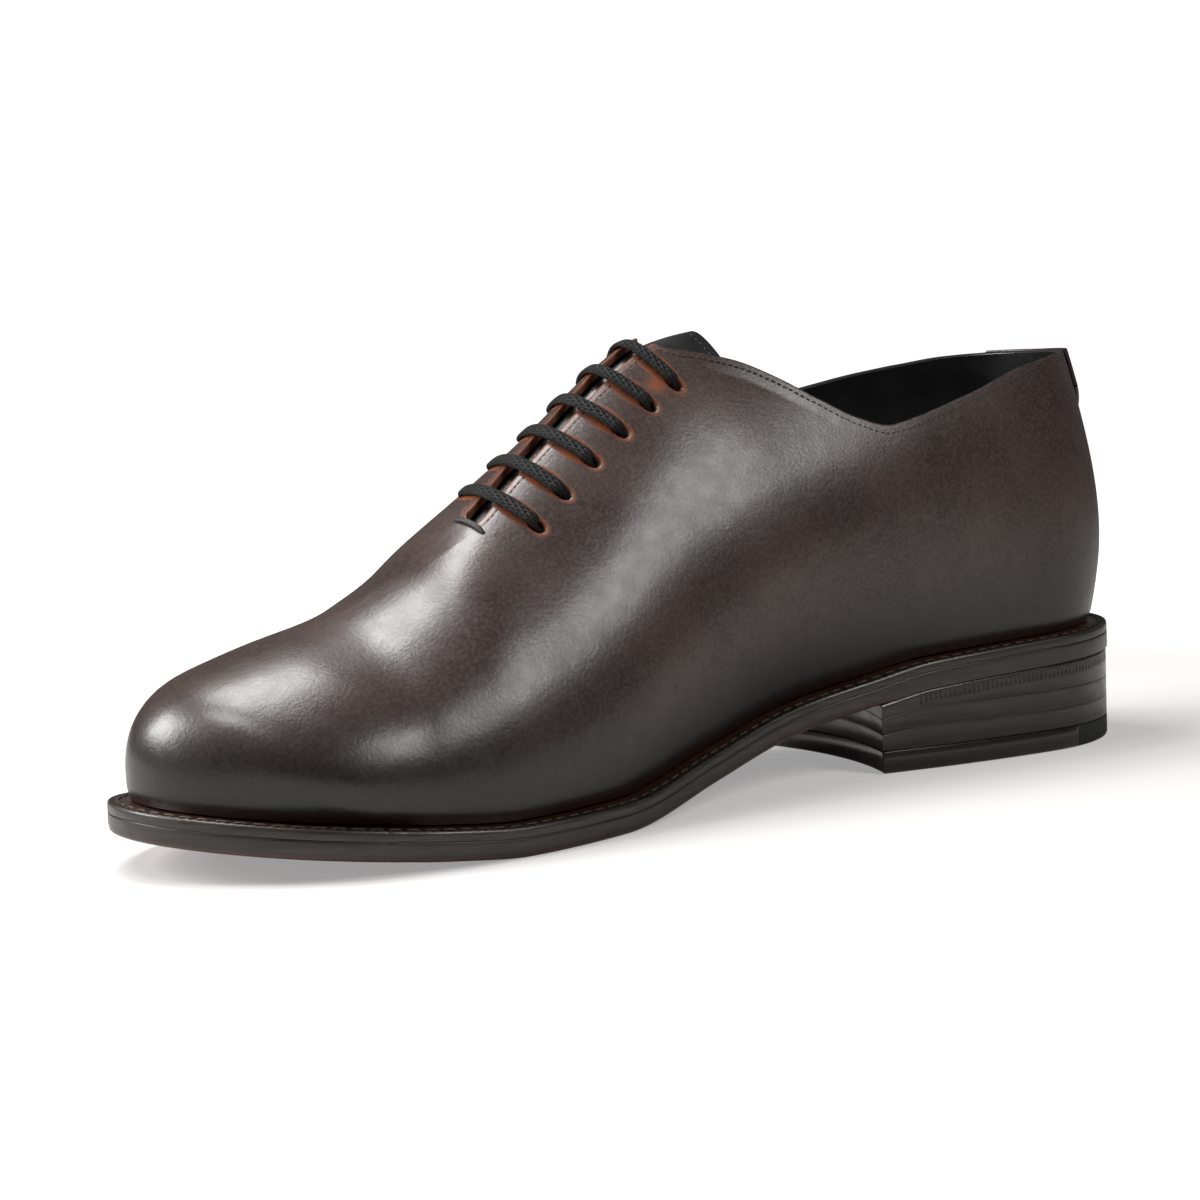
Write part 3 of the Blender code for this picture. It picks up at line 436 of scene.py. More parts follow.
def wallFrame(station, angle, inner, depth, step=0.001):
    # Placed point of the wall at a depth, and the way out there, judged over a step in depth.
    here, there = (placed(onWall(station, angle, inner, deep)) for deep in (depth, depth + step))
    return here, unit((here - there) * step)


def topAngle(station, inner):
    # Angle of the upper's top edge: collar, then the throat's edge, then the ridge.
    station = np.asarray(station, float)
    roundBack = last["heelFan"] * (1.0 - np.cos(np.clip(station / fanStation, 0.0, 1.0) * math.pi / 2))
    x = np.where(station < fanStation, roundBack, station)
    closing = np.sqrt(np.clip((throatFootStation - station) / last["throatEnd"], 0.0, 1.0))
    side = last["throatGap"] / 2 * closing * (1 if inner else -1)
    edge = angleBeside(station, swing(np.interp(station, fineStations, fineTopX)) + side, inner)
    return np.where(station < throatTopStation, np.minimum(collarTurn[inner](x), edge), edge)


print("last worked out")



# Leathers and threads

def calfMaterial():
    # Vegetable tanned calf, hand dyed and waxed: satin, a little mottled, with a fine pore
    # grain. The dye is thin at cut edges and under the lace, so the tan shows there.
    material, tree, shader, place = newMaterial("hand dyed calf")
    tan, low, hole, shade = (readValue(tree, key) for key in ("tan", "low", "hole", "shade"))
    # Clouds of dye about 30 mm wide, and blotches about 5 mm wide
    cloud = noise(tree, place, 34.0)
    blotch = noise(tree, place, 210.0, 4.0)
    # Pores about 0.9 mm apart, coarser than real ones so that they show
    grain = noise(tree, place, 1100.0)
    colour = mixColour(tree, ramp(tree, cloud, 0.35, 0.68), "#2d201c", "#40322d")
    colour = mixColour(tree, ramp(tree, blotch, 0.40, 0.75, 0.0, 0.35), colour, "#231815")
    colour = mixColour(tree, ramp(tree, grain, 0.35, 0.7, 0.0, 0.40), colour, "#5a4d48")
    # Darker and bluish towards the welt, and on the collar's rolled edge
    colour = mixColour(tree, low, colour, "#121417")
    # Painted shade in the crease over the welt, reddish like the leather there
    colour = mixColour(tree, shade, colour, "#260f09")
    patchy = maths(tree, "MULTIPLY", tan, ramp(tree, blotch, 0.25, 0.6, 0.45, 1.25), use_clamp=True)
    colour = mixColour(tree, patchy, colour, "#7b4327")
    # Painted shade in the eyelet dimples, where an open hole would be dark
    colour = mixColour(tree, hole, colour, "#0a0706")
    # Raw leather in a cut edge or a hole has no shine
    raw = maths(tree, "MAXIMUM", tan, hole)
    swell = bumped(tree, cloud, 0.35, 0.0012, Normal=bumped(tree, grain, 0.30))
    setSockets(tree, shader, {
        "Base Color": colour, "Normal": swell, "Coat Roughness": 0.2,
        "Roughness": maths(tree, "MULTIPLY_ADD", raw, 0.35, ramp(tree, blotch, 0.2, 0.8, 0.29, 0.38)),
        "Specular IOR Level": ramp(tree, raw, 0.0, 1.0, 0.5, 0.12),
        "Coat Weight": ramp(tree, raw, 0.0, 1.0, 0.16, 0.0)})
    return material


def plainLeather(name, dark, light, roughness, coat, grainScale):
    # Dyed leather: two tones in clouds, a pore grain, and a wax coat.
    material, tree, shader, place = newMaterial(name)
    cloud = noise(tree, place, 90.0, 5.0)
    setSockets(tree, shader, {
        "Base Color": mixColour(tree, ramp(tree, cloud, 0.3, 0.7), dark, light),
        "Roughness": ramp(tree, cloud, 0.2, 0.8, roughness, roughness + 0.1),
        "Normal": bumped(tree, noise(tree, place, grainScale), 0.3),
        "Coat Weight": coat, "Coat Roughness": 0.12})
    return material


def edgeMaterial(name, dark, light, roughness):
    # Stacked leather edge, inked, waxed and burnished: fibres run level, in fine streaks.
    material, tree, shader, place = newMaterial(name)
    level = addNode(tree, "ShaderNodeMapping", {"Vector": place, "Scale": (60.0, 60.0, 1500.0)}).outputs[0]
    fibre, worn = noise(tree, level, 1.0), noise(tree, place, 160.0, 5.0)
    colour = mixColour(tree, ramp(tree, fibre, 0.35, 0.7), dark, light)
    colour = mixColour(tree, readValue(tree, "line"), colour, "#0b0807")
    colour = mixColour(tree, readValue(tree, "rust"), colour, "#4a2013")
    setSockets(tree, shader, {
        "Base Color": colour, "Roughness": ramp(tree, worn, 0.25, 0.75, roughness, roughness + 0.16),
        "Normal": bumped(tree, fibre, 0.08), "Coat Weight": 0.4, "Coat Roughness": 0.22})
    return material


def soleLeatherMaterial():
    # Oak bark tanned sole leather, stained cognac and glazed, darker where it was pressed.
    material, tree, shader, place = newMaterial("glazed sole leather")
    cloud = noise(tree, place, 26.0, 6.0, 0.6)
    colour = mixColour(tree, ramp(tree, cloud, 0.32, 0.68), "#5a2410", "#8c4318")
    colour = mixColour(tree, readValue(tree, "rim"), colour, "#3a160b")
    colour = mixColour(tree, readValue(tree, "channel"), colour, "#170d09")
    setSockets(tree, shader, {
        "Base Color": colour, "Roughness": ramp(tree, cloud, 0.2, 0.8, 0.22, 0.34),
        "Normal": bumped(tree, noise(tree, place, 900.0), 0.15), "Coat Weight": 0.5, "Coat Roughness": 0.1})
    return material


def braidMaterial():
    # Waxed cotton braid on the lace's own UV map: strands cross at a steep slant, one each
    # 3 mm along the lace and twelve round it.
    strandPitch, strandsRound = 0.0030, 12.0
    material, tree, shader, place = newMaterial("waxed cotton braid")
    split = addNode(tree, "ShaderNodeSeparateXYZ", {0: place.node.outputs["UV"]})
    waves = []
    for turn in (1.0, -1.0):
        slanted = maths(tree, "MULTIPLY", split.outputs[1], turn * strandsRound)
        run = maths(tree, "MULTIPLY_ADD", split.outputs[0], 1 / strandPitch, slanted)
        waves.append(maths(tree, "SINE", maths(tree, "MULTIPLY", run, 2 * math.pi)))
    weave = maths(tree, "MAXIMUM", *waves)
    # The grooves between the strands are painted darker than their crowns: painted shade, besides the bump
    setSockets(tree, shader, {
        "Base Color": mixColour(tree, ramp(tree, weave, 0.0, 1.0), "#060505", "#171513"), "Roughness": 0.6,
        "Normal": bumped(tree, weave, 1.0, 0.00025), "Specular IOR Level": 0.3})
    return material


def twoTone(name, dark, light, scale, detail, high, roughness):
    # Thread or rubber: one noise gives its two tones and its fine relief.
    material, tree, shader, place = newMaterial(name)
    fluff = noise(tree, place, scale, detail)
    setSockets(tree, shader, {
        "Base Color": mixColour(tree, ramp(tree, fluff, 0.3, high), dark, light), "Roughness": roughness,
        "Normal": bumped(tree, fluff, 0.4)})
    return material


def nailMaterial():
    # Brass heel nails, filed flush.
    material, tree, shader, place = newMaterial("filed brass")
    setSockets(tree, shader, {
        "Base Color": hexColour("#b08a4a"), "Metallic": 1.0,
        "Roughness": ramp(tree, noise(tree, place, 1200.0, 2.0), 0.2, 0.8, 0.25, 0.45)})
    return material


calf = calfMaterial()
liningLeather = plainLeather("black kid lining", "#0b0a0a", "#171515", 0.5, 0.0, 1500.0)
tongueLeather = plainLeather("black waxed calf", "#0c0b0b", "#171516", 0.36, 0.12, 1300.0)
tabLeather = plainLeather("dyed calf tab", "#291e1a", "#3a2e2a", 0.32, 0.2, 1800.0)
sockLeather = plainLeather("black sock leather", "#0d0c0c", "#1b1918", 0.5, 0.05, 1200.0)
weltEdge = edgeMaterial("inked welt", "#19130f", "#332a24", 0.36)
soleEdge = edgeMaterial("burnished sole edge", "#1c1612", "#302721", 0.36)
heelEdge = edgeMaterial("burnished leather stack", "#17120f", "#2a221c", 0.27)
soleLeather = soleLeatherMaterial()
braid = braidMaterial()
darkThread = twoTone("dark waxed thread", "#12100f", "#332c29", 1500.0, 2.0, 0.7, 0.55)
palerThread = twoTone("brown waxed thread", "#2c2019", "#5a4432", 1500.0, 2.0, 0.7, 0.55)
heelRubber = twoTone("moulded heel rubber", "#0e0e0e", "#222120", 700.0, 4.0, 0.75, 0.62)
brass = nailMaterial()
print("materials made")


# Upper

throat = {
    "pairs": 6, "first": 0.0086, "pitch": 0.0118, "outFoot": 0.0135, "outTop": 0.0125,
    "holeLong": 0.0027, "holeWide": 0.0018, "holeDepth": 0.0019, "facingBow": 0.0012,
}
ridgeRun = np.linspace(last["throatFoot"] * last["length"], last["throatTop"] * last["length"], 300)
ridgeWalked = walkedAlong(placed(lastPoint(stationAt(ridgeRun), math.pi / 2, True)))
bothSides = ((True, 1), (False, -1))


def eyeletX(number):
    return float(np.interp(throat["first"] + number * throat["pitch"], ridgeWalked, ridgeRun))


def eyeletOut(number):
    return throat["outFoot"] + (throat["outTop"] - throat["outFoot"]) * number / (throat["pairs"] - 1)


# Each side of a pair: the hole's centre, and the point of the throat's edge beside it
facings = []
for pair in range(throat["pairs"]):
    for _, sign in bothSides:
        line = swing(eyeletX(pair))
        facings.append((throatPoint(eyeletX(pair), line + eyeletOut(pair) * sign),
                        throatPoint(eyeletX(pair), line + last["throatGap"] / 2 * sign)))

wall = {
    "heelColumns": 46, "collarColumns": 100, "throatColumns": 120, "vampColumns": 34, "toeColumns": 60,
    "lowRows": 36, "highRows": 54, "highFrom": 0.60, "rimRows": 6, "rimRound": 0.0002,
    "liningRows": 40, "liningShare": 0.4, "tuck": 0.0006, "tuckHigh": 0.0016,
}
# Worn and dyed places, a band darker towards the welt, and painted shade in the crease
# over the welt and in the eyelet dimples: sizes in metres, the ring's in shares of a hole
# and rimCut in radians round the edge; strengths are shares
wearAndShade = {
    "cut": 0.0005, "seamIn": 0.0019, "seamWide": 0.0003, "seam": 0.75, "barHalf": 0.0019, "barFade": 0.00022,
    "bar": 0.85, "ringAt": 1.2, "ringWide": 0.16, "patchPair": 4.55, "patchOut": 0.0105, "patchWide": 0.0024,
    "patch": 0.85, "lowHigh": 0.021, "low": 0.92, "shadeHigh": 0.0028, "shade": 0.95,
    "rim": 0.40, "rimCut": 0.5, "rimLow": 0.9, "holeShade": 2.6,
}
# Soft hollows and swells of the leather on the last: length, share of the way up, their
# sizes in metres and share, depth in metres, and side (1 inner, -1 outer, 0 both)
softForms = (
    (0.236, 0.62, 0.016, 0.30, 0.0007, 0),
    (0.214, 0.70, 0.010, 0.24, -0.0006, 0),
    (0.196, 0.50, 0.014, 0.22, 0.0008, 1),
    (0.150, 0.40, 0.018, 0.22, 0.0008, 1),
    (0.122, 0.62, 0.014, 0.25, 0.0007, 1),
    (0.196, 0.45, 0.014, 0.22, 0.0007, -1),
    (0.140, 0.45, 0.020, 0.25, 0.0007, -1),
)


def hollows(station, share, sign):
    # Sum of bell curves exp(-(a^2 + b^2)) of the soft forms, in metres of depth.
    depth = np.zeros(np.broadcast(station, share).shape)
    x = np.interp(station, fineStations, fineTopX)
    for at, up, long, high, deep, side in softForms:
        if side in (0, sign):
            depth += deep * bell(x - at, long) * bell(share - up, high)
    return depth


def upperStations(density=1.0):
    vampEnd = stationAt(sections[8, 0] * last["length"])
    stops = (0.0, fanStation, throatTopStation, throatFootStation, vampEnd, toeStation)
    parts = (("heel", 1.0), ("collar", 1.35), ("throat", 1.15), ("vamp", 1.0), ("toe", 1.0))
    return spread(*((start, end, int(wall[part + "Columns"] * density), power)
                    for start, end, (part, power) in zip(stops, stops[1:], parts)))


def nearBars(points):
    # Distance in metres from each point to the nearest stretch between a hole and the
    # throat's edge, and to the nearest hole, in shares of the hole's long and short half.
    toBar = np.full(points.shape[:-1], 1.0)
    toHole = np.full(points.shape[:-1], 1e3)
    for hole, edge in facings:
        run = edge - hole
        share = np.clip(((points - hole) @ run) / (run @ run), 0.0, 1.0)
        # The stretch bulges with the last between its ends
        bow = 4 * share * (1 - share) * throat["facingBow"]
        level = hole + run * share[..., None]
        toBar = np.minimum(toBar, np.maximum(np.linalg.norm(points - level, axis=-1) - bow, 0.0))
        lengthwise = (points - hole) @ unit(run)
        crosswise = np.linalg.norm(points - hole - lengthwise[..., None] * unit(run), axis=-1)
        toHole = np.minimum(toHole, np.hypot(lengthwise / throat["holeLong"], crosswise / throat["holeWide"]))
    return toBar, toHole


def makeUpper():
    # Outer wall and rolled edge of the one piece of calf. Rows run from the feather line to
    # the top edge; the edge is a half round between the outer and inner face.
    columns = upperStations()
    shares = np.concatenate((np.linspace(0.0, wall["highFrom"], wall["lowRows"], endpoint=False),
                             np.linspace(wall["highFrom"], 1.0, wall["highRows"])))[None, :]
    openCount = int(np.argmin(np.abs(columns - throatFootStation))) + 1
    rim = columns[:openCount, None]
    turn = np.linspace(0.0, math.pi, wall["rimRows"] + 1)[None, :]
    worn = throatPoint(eyeletX(wearAndShade["patchPair"]), swing(eyeletX(wearAndShade["patchPair"])) + wearAndShade["patchOut"])
    grids, values = [], {"tan": [], "low": [], "hole": [], "shade": []}
    for inner, sign in bothSides:
        top = topAngle(columns, inner)[:, None]
        angle = top * shares
        station = columns[:, None] + 0 * angle
        flat = lastPoint(station, *overRidge(angle, inner))
        skin = placed(flat)
        height = flat[..., 2]
        toBar, toHole = nearBars(skin)
        dimple = np.clip(1.0 - toHole ** 2, 0.0, 1.0)
        fade = shareOf(shares, 0.0, 0.12) * shareOf(shares, 1.0, 0.92) * shareOf(station, 0.0, fanStation)
        depth = throat["holeDepth"] * dimple + hollows(station, angle / (math.pi / 2), sign) * fade
        # The wall tucks in a little over the welt
        depth = depth + wall["tuck"] * bell(height, wall["tuckHigh"])
        outer = placed(onWall(station, angle, inner, depth))
        grids.append(outer)
        # Worn lines: the cut edge, one beside the stitches, under each bar, round each hole
        toEdge = np.linalg.norm(skin - skin[:, -1:, :], axis=-1)
        slit = bell(toEdge, wearAndShade["cut"]) + wearAndShade["seam"] * bell(toEdge - wearAndShade["seamIn"], wearAndShade["seamWide"])
        onThroat = (columns > throatTopStation - 0.003) & (columns < throatFootStation + 0.001)
        slit = np.where(onThroat[:, None], slit, 0.0)
        halo = wearAndShade["bar"] * bell(np.maximum(toBar - wearAndShade["barHalf"], 0.0), wearAndShade["barFade"])
        ring = bell(toHole - wearAndShade["ringAt"], wearAndShade["ringWide"])
        patch = wearAndShade["patch"] * bell(np.linalg.norm(skin - worn, axis=-1), wearAndShade["patchWide"])
        values["tan"].append(np.clip(np.maximum.reduce((slit, halo, ring, patch)), 0.0, 1.0))
        # Darker and bluish towards the welt; painted shade, reddish, in the crease over the welt
        values["low"].append(wearAndShade["low"] * bell(height, wearAndShade["lowHigh"]))
        values["shade"].append(wearAndShade["shade"] * bell(height, wearAndShade["shadeHigh"]))
        # Painted shade in the eyelet dimples: dark over most of each one, fading at its rim
        values["hole"].append(np.clip(dimple * wearAndShade["holeShade"], 0.0, 1.0))
        # Rolled edge from the outer face to the lining, flat again at the slit's foot
        face = placed(onWall(rim + 0 * turn, top[:openCount] + 0 * turn, inner,
                             last["wall"] / 2 * (1 - np.cos(turn)) + 0 * rim))
        upward = unit(outer[:openCount, -1] - outer[:openCount, -3])[:, None, :]
        swell = wall["rimRound"] * np.sin(turn) * shareOf(rim, throatFootStation, throatFootStation - 0.003)
        grids.append(face + upward * swell[..., None])
        throatEdge = (rim > throatTopStation - 0.001) + 0.0 * turn
        values["tan"].append(throatEdge * (wearAndShade["rim"] + 0.5 * bell(turn, wearAndShade["rimCut"])))
        values["low"].append(wearAndShade["rimLow"] * (1.0 - throatEdge))
        values["shade"].append(0.0 * throatEdge)
        values["hole"].append(0.0 * throatEdge)
    putPiece("whole_cut_upper", grids, calf, ["upper"], values)


def makeLining():
    # Inner face of the wall, from the feather line to the rolled edge.
    columns = upperStations(wall["liningShare"])
    grids = []
    for inner, sign in bothSides:
        angle = topAngle(columns, inner)[:, None] * np.linspace(0.0, 1.0, wall["liningRows"])[None, :]
        face = placed(onWall(columns[:, None] + 0 * angle, angle, inner, last["wall"]))
        grids.append(face[:, ::-sign])
    putPiece("kid_lining", grids, liningLeather, outward=False)


makeUpper()
makeLining()
print("upper made")


# Pieces round the sole

heel = {
    "length": 0.092, "slant": 0.006, "hollow": 0.0055, "topPiece": 0.0060, "lift": 0.0052, "lifts": 3,
    "gap": 0.0003, "step": 0.0003, "rubberInner": 0.026, "rubberOuter": 0.050,
    "ticks": 190, "tickDepth": 0.00022, "tickEnd": 0.012, "clear": 0.0041, "lid": 0.002,
}
aroundLoop = np.arange(loopCount) / loopCount
atHeel = shareOf(featherLoop[:, 0], heel["length"], heel["length"] - 0.006)[:, None]


def halves(loop):
    # Inner and outer half of an outline, each from the back to the tip of the toe.
    half = loopCount // 2
    return loop[:half + 1], np.vstack((loop[half:], loop[:1]))[::-1]


def aroundSole(profile, ripple=0.0, flush=0.0):
    # Surface carried round the outline: point = loop + normal * out, at the sole's height
    # there plus rise. profile holds (out, rise) rows; ripple is added height. At the heel
    # out goes by the share flush to the outermost row, so that the edges run together.
    out, rise = (np.tile(column, (loopCount, 1)) for column in profile.T)
    out = out + atHeel * flush * (out.max() - out)
    plan = featherLoop[:, None, :] + loopNormal[:, None, :] * out[..., None]
    points = placed(np.concatenate((plan, (rise + ripple)[..., None]), axis=-1), 0.0)
    return np.concatenate((points, points[:1]))


def plate(loop, rows, columns):
    # Grid of points at height 0 between the two halves of an outline, and its shares across.
    low, high = loop[:, 0].min(), loop[:, 0].max()
    x = low + (high - low) * (1 - np.cos(np.linspace(0, math.pi, rows))) / 2
    innerY, outerY = (np.interp(x, rim[:, 0], rim[:, 1])[:, None] for rim in halves(loop))
    across = np.linspace(0.0, 1.0, columns)[None, :]
    y = innerY * (1 - across) + outerY * across
    return np.stack((x[:, None] + 0 * y, y, 0 * y), axis=-1), across


welt = {"wheelPitch": 0.0021, "wheelDepth": 0.00030, "wheelAt": 0.0033, "wheelHalf": 0.0010, "wheelInk": 0.7,
        "stitchPitch": 0.0042, "stitchOut": 0.0024, "stitchLong": 0.0031, "stitchThick": 0.00038,
        "rust": 0.8, "rustAt": -0.0004, "rustHalf": 0.0010}


def makeWelt():
    # Welt strip with a wheeled top and a rounded outer bead.
    profile = np.array((
        (-0.0016, 0.00735), (-0.0004, 0.00735), (0.0006, 0.00725), (0.0014, 0.0072), (0.0020, 0.0072),
        (0.0026, 0.0072), (0.0032, 0.0072), (0.0037, 0.00725), (0.0041, 0.0073), (0.0044, 0.00725),
        (0.0047, 0.0070), (0.00485, 0.0066), (0.0049, 0.0061), (0.0049, 0.0052), (0.00488, 0.0048),
        (0.0048, 0.0047), (0.0030, 0.0047), (0.0, 0.0047)))
    out = profile[:, 0][None, :]
    wheelCount = round(loopLength / welt["wheelPitch"])
    teeth = 0.5 + 0.5 * np.cos(2 * math.pi * wheelCount * aroundLoop)[:, None]
    band = bell(out - welt["wheelAt"], welt["wheelHalf"], 4)
    line = welt["wheelInk"] * band * teeth ** 2
    line = np.concatenate((line, line[:1]))
    rust = welt["rust"] * bell(out - welt["rustAt"], welt["rustHalf"]) + 0 * line
    strip = aroundSole(profile, -welt["wheelDepth"] * band * teeth ** 1.5)
    putPiece("wheeled_welt", [strip], weltEdge, ["welt"], {"line": [line], "rust": [rust]})


outsole = {"rim": 0.0038, "channelIn": 0.0062, "channelHalf": 0.0006, "channelDepth": 0.0003,
           "round": 0.0002, "roundIn": 0.0012, "dark": 0.0035, "seamHigh": 0.0011, "seamHalf": 0.00025}


def makeOutsole():
    # Edge of the outsole round the outline, and its underside between the two rims with a
    # stitching channel 6 mm inside the flat's edge.
    profile = np.array((
        (0.0020, 0.00462), (0.0048, 0.00462), (0.00488, 0.0045), (0.00492, 0.0040), (0.00495, 0.0030),
        (0.00493, 0.0020), (0.0048, 0.0012), (0.0047, 0.0008), (0.0046, 0.0005), (0.0043, 0.0002),
        (outsole["rim"], 0.0)))
    edge = aroundSole(profile, flush=np.where(profile[:, 1] < 0.0025, 0.95, 0.0)[None, :])
    ahead = 1.0 - np.concatenate((atHeel, atHeel[:1]))
    rise = profile[:, 1][None, :] + 0 * ahead
    line = 0.8 * bell(rise - outsole["seamHigh"], outsole["seamHalf"]) * ahead
    rust = shareOf(rise, 0.0010, 0.0006) * ahead
    putPiece("outsole_edge", [edge], soleEdge, ["outsole"], {"line": [line], "rust": [rust]})

    rimLoop = featherLoop + loopNormal * outsole["rim"]
    points, _ = plate(rimLoop, 420, 90)
    toRim = points[..., None, :2] - rimLoop[::4]
    fromRim = np.sqrt((toRim ** 2).sum(-1).min(-1))
    channel = bell(fromRim - outsole["channelIn"], outsole["channelHalf"])
    channel = channel * shareOf(points[..., 0], heel["length"] - 0.004, heel["length"] - 0.001)
    points[..., 2] = outsole["channelDepth"] * channel + outsole["round"] * bell(fromRim, outsole["roundIn"])
    putPiece("outsole_underside", [placed(points, 0.0)[:, ::-1]], soleLeather, outward=False,
             values={"channel": [channel[:, ::-1]], "rim": [bell(fromRim, outsole["dark"])[:, ::-1]]})


def stitchRow(name, centres, ups, length, radius, material):
    # A run of stitches along evenly spaced points: rods whose radius swells from their ends.
    flat, sides = 0.6, 6
    tangent = unit(np.gradient(centres, axis=0))
    start = centres - tangent * length / 2
    run = centres + tangent * length / 2 - start
    side = unit(np.cross(run, ups))
    lift = unit(np.cross(side, run))
    share = np.array((0.0, 0.08, 0.3, 0.7, 0.92, 1.0))[:, None]
    swell = np.array((0.15, 0.7, 1.0, 1.0, 0.7, 0.15))[:, None]
    turn = np.append(np.linspace(0.0, 2 * math.pi, sides, endpoint=False), 0.0)[None, :]
    middleLine = start[..., None, None, :] + run[..., None, None, :] * share[..., None]
    ring = (np.cos(turn)[..., None] * side[..., None, None, :]
            + np.sin(turn)[..., None] * flat * lift[..., None, None, :])
    putPiece(name, list(middleLine + ring * (radius * swell)[..., None]), material, merge=1e-8)


def makeWeltStitches():
    count = round(loopLength / welt["stitchPitch"])
    at = (np.arange(count) / count * loopCount).astype(int)
    plan = featherLoop[at] + loopNormal[at] * welt["stitchOut"]
    points = placed(np.column_stack((plan, np.zeros(count))), sole["weltTop"] - 0.0001)
    stitchRow("welt_stitches", points, np.tile((0.0, 0.0, 1.0), (count, 1)), welt["stitchLong"],
              welt["stitchThick"], palerThread)


def heelPart(loop):
    # Both halves of an outline, as far forward as a heel can reach.
    return [line[line[:, 0] < 0.6 * last["length"]] for line in halves(loop)]


def sideY(x, inner):
    line = heelPart(outerLoop)[0 if inner else 1]
    return np.interp(x, line[:, 0], line[:, 1])


breastIn, breastOut = sideY(heel["length"], True), sideY(heel["length"], False)


def breastX(y):
    # Front of the heel: a slanting line with a parabolic hollow.
    across = (y - (breastIn + breastOut) / 2) / ((breastIn - breastOut) / 2)
    return (heel["length"] - heel["slant"] * (1 - across) / 2
            - heel["hollow"] * np.clip(1 - across ** 2, 0.0, 1.0))


def rubberX(y):
    innerY, outerY = sideY(heel["rubberInner"], True), sideY(heel["rubberOuter"], False)
    return heel["rubberInner"] + (heel["rubberOuter"] - heel["rubberInner"]) * (y - innerY) / (outerY - innerY)


def heelOutline(front, back=None, count=360):
    # Closed plan outline between two curves across the heel, walked in even steps.
    runs = []
    for line in heelPart(featherLoop + loopNormal * (sole["weltShow"] - heel["step"])):
        keep = line[:, 0] < front(line[:, 1])
        if back is not None:
            keep &= line[:, 0] > back(line[:, 1])
        runs.append(line[keep])
    y = np.linspace(runs[0][-1, 1], runs[1][-1, 1], 60)
    parts = [runs[0], np.column_stack((front(y), y)), runs[1][::-1]]
    if back is not None:
        y = np.linspace(runs[1][0, 1], runs[0][0, 1], 60)
        parts.append(np.column_stack((back(y), y)))
    outline = np.vstack(parts)
    outline = outline[np.concatenate(([True], np.linalg.norm(np.diff(outline, axis=0), axis=1) > 1e-5))]
    return evenly(np.vstack((outline, outline[:1])), count + 1)[:-1]


def prism(outline, rows):
    # Side of a block in rows of (height, inset) from its foot to its top. A height is a
    # number, or a function of the plan points.
    tangent = unit(np.roll(outline, -2, axis=0) - np.roll(outline, 2, axis=0))
    normal = np.stack((tangent[:, 1], -tangent[:, 0]), axis=1)
    turned = (outline[:, 0] * np.roll(outline[:, 1], -1) - np.roll(outline[:, 0], -1) * outline[:, 1]).sum()
    normal = normal if turned > 0 else -normal
    sheets = []
    for height, inset in rows:
        plan = outline - normal * inset
        z = height(plan) if callable(height) else np.full(len(plan), height)
        sheets.append(np.column_stack((plan - middle, z)))
    grid = np.stack(sheets, axis=1)
    return np.concatenate((grid, grid[:1]))


def makeHeelStack():
    # Stack of leather lifts as one burnished side, with a dark line at each joint.
    foot = heel["topPiece"] + heel["gap"]
    joints = [foot + (heel["lift"] + heel["gap"]) * k for k in range(1, heel["lifts"])]
    # Each row: height, inset, and how dark its line is
    rows = [(foot - 0.0002, heel["lid"], 0.4), (foot - 0.0002, 0.0003, 0.4), (foot, 0.00012, 0.3),
            (foot + 0.0002, 0.0, 0.0)]
    steps = [(joint + step, inset, ink) for joint in joints for step, inset, ink in (
        (-0.0004, 0.0, 0.0), (-0.0001, 0.00003, 0.0), (0.0, 0.00010, 0.5), (0.0001, 0.00003, 0.0))]
    # Towards the breast the sole comes down, and the joints close up in step with it
    span = steps[-1][0] - foot

    def closedUp(plan, level):
        return foot + (level - foot) * np.minimum(1.0, (soleUnder(plan[:, 0]) - heel["clear"] - foot) / span)

    rows += [(lambda plan, level=level: closedUp(plan, level), inset, ink) for level, inset, ink in steps]
    # A wheeled band of upright ticks runs just under the sole
    low = len(rows)
    outline = heelOutline(breastX, count=1600)
    ticks = np.cos(2 * math.pi * heel["ticks"] * np.arange(len(outline)) / len(outline))
    ticks = np.clip(ticks * 2 - 0.6, 0.0, 1.0) * (outline[:, 0] < heel["length"] - heel["tickEnd"])
    pressed = heel["tickDepth"] * ticks[:, None]
    rows += [(lambda plan, drop=drop: soleUnder(plan[:, 0]) - drop, inset, 0.0) for drop, inset in (
        (0.0038, 0.0), (0.0036, 0.0), (0.0034, pressed), (0.0024, pressed), (0.0014, pressed),
        (0.0012, 0.0), (0.0003, 0.0001), (0.0002, 0.0003), (0.0002, heel["lid"]))]
    grid = prism(outline, [row[:2] for row in rows])
    line = np.tile([row[2] for row in rows], (len(grid), 1))
    line[:, low + 2:low + 5] = 0.8 * np.append(ticks, ticks[0])[:, None]
    putPiece("burnished_heel_stack", [grid], heelEdge,
             [f"heel_lift_{k + 1}" for k in range(heel["lifts"])], {"line": [line], "rust": [0.0 * line]})


def makeTopPiece(name, outline, material, node):
    high = heel["topPiece"]
    side = prism(outline, [(0.0, 0.0009), (0.0003, 0.0003), (0.0009, 0.0), (high - 0.0002, 0.0),
                           (high, 0.0001), (high, 0.0012)])
    share = np.linspace(0.0, 1.0, 6)[None, :, None]
    lids = [side[:, k][:, None, :] * (1 - share) + np.append(np.mean(outline, axis=0) - middle, z) * share
            for k, z in ((0, 0.0), (-1, high))]
    # Only the underside keeps the sole's colour: the sides are inked like the lifts
    inked = [np.tile(shareOf(side[:1, :, 2], 0.0, 0.0004), (len(side), 1)),
             np.zeros(lids[0].shape[:2]), np.ones(lids[1].shape[:2])]
    plain = [0.0 * part for part in inked]
    putPiece(name, [side, *lids], material, [node], {"channel": inked, "rim": plain})


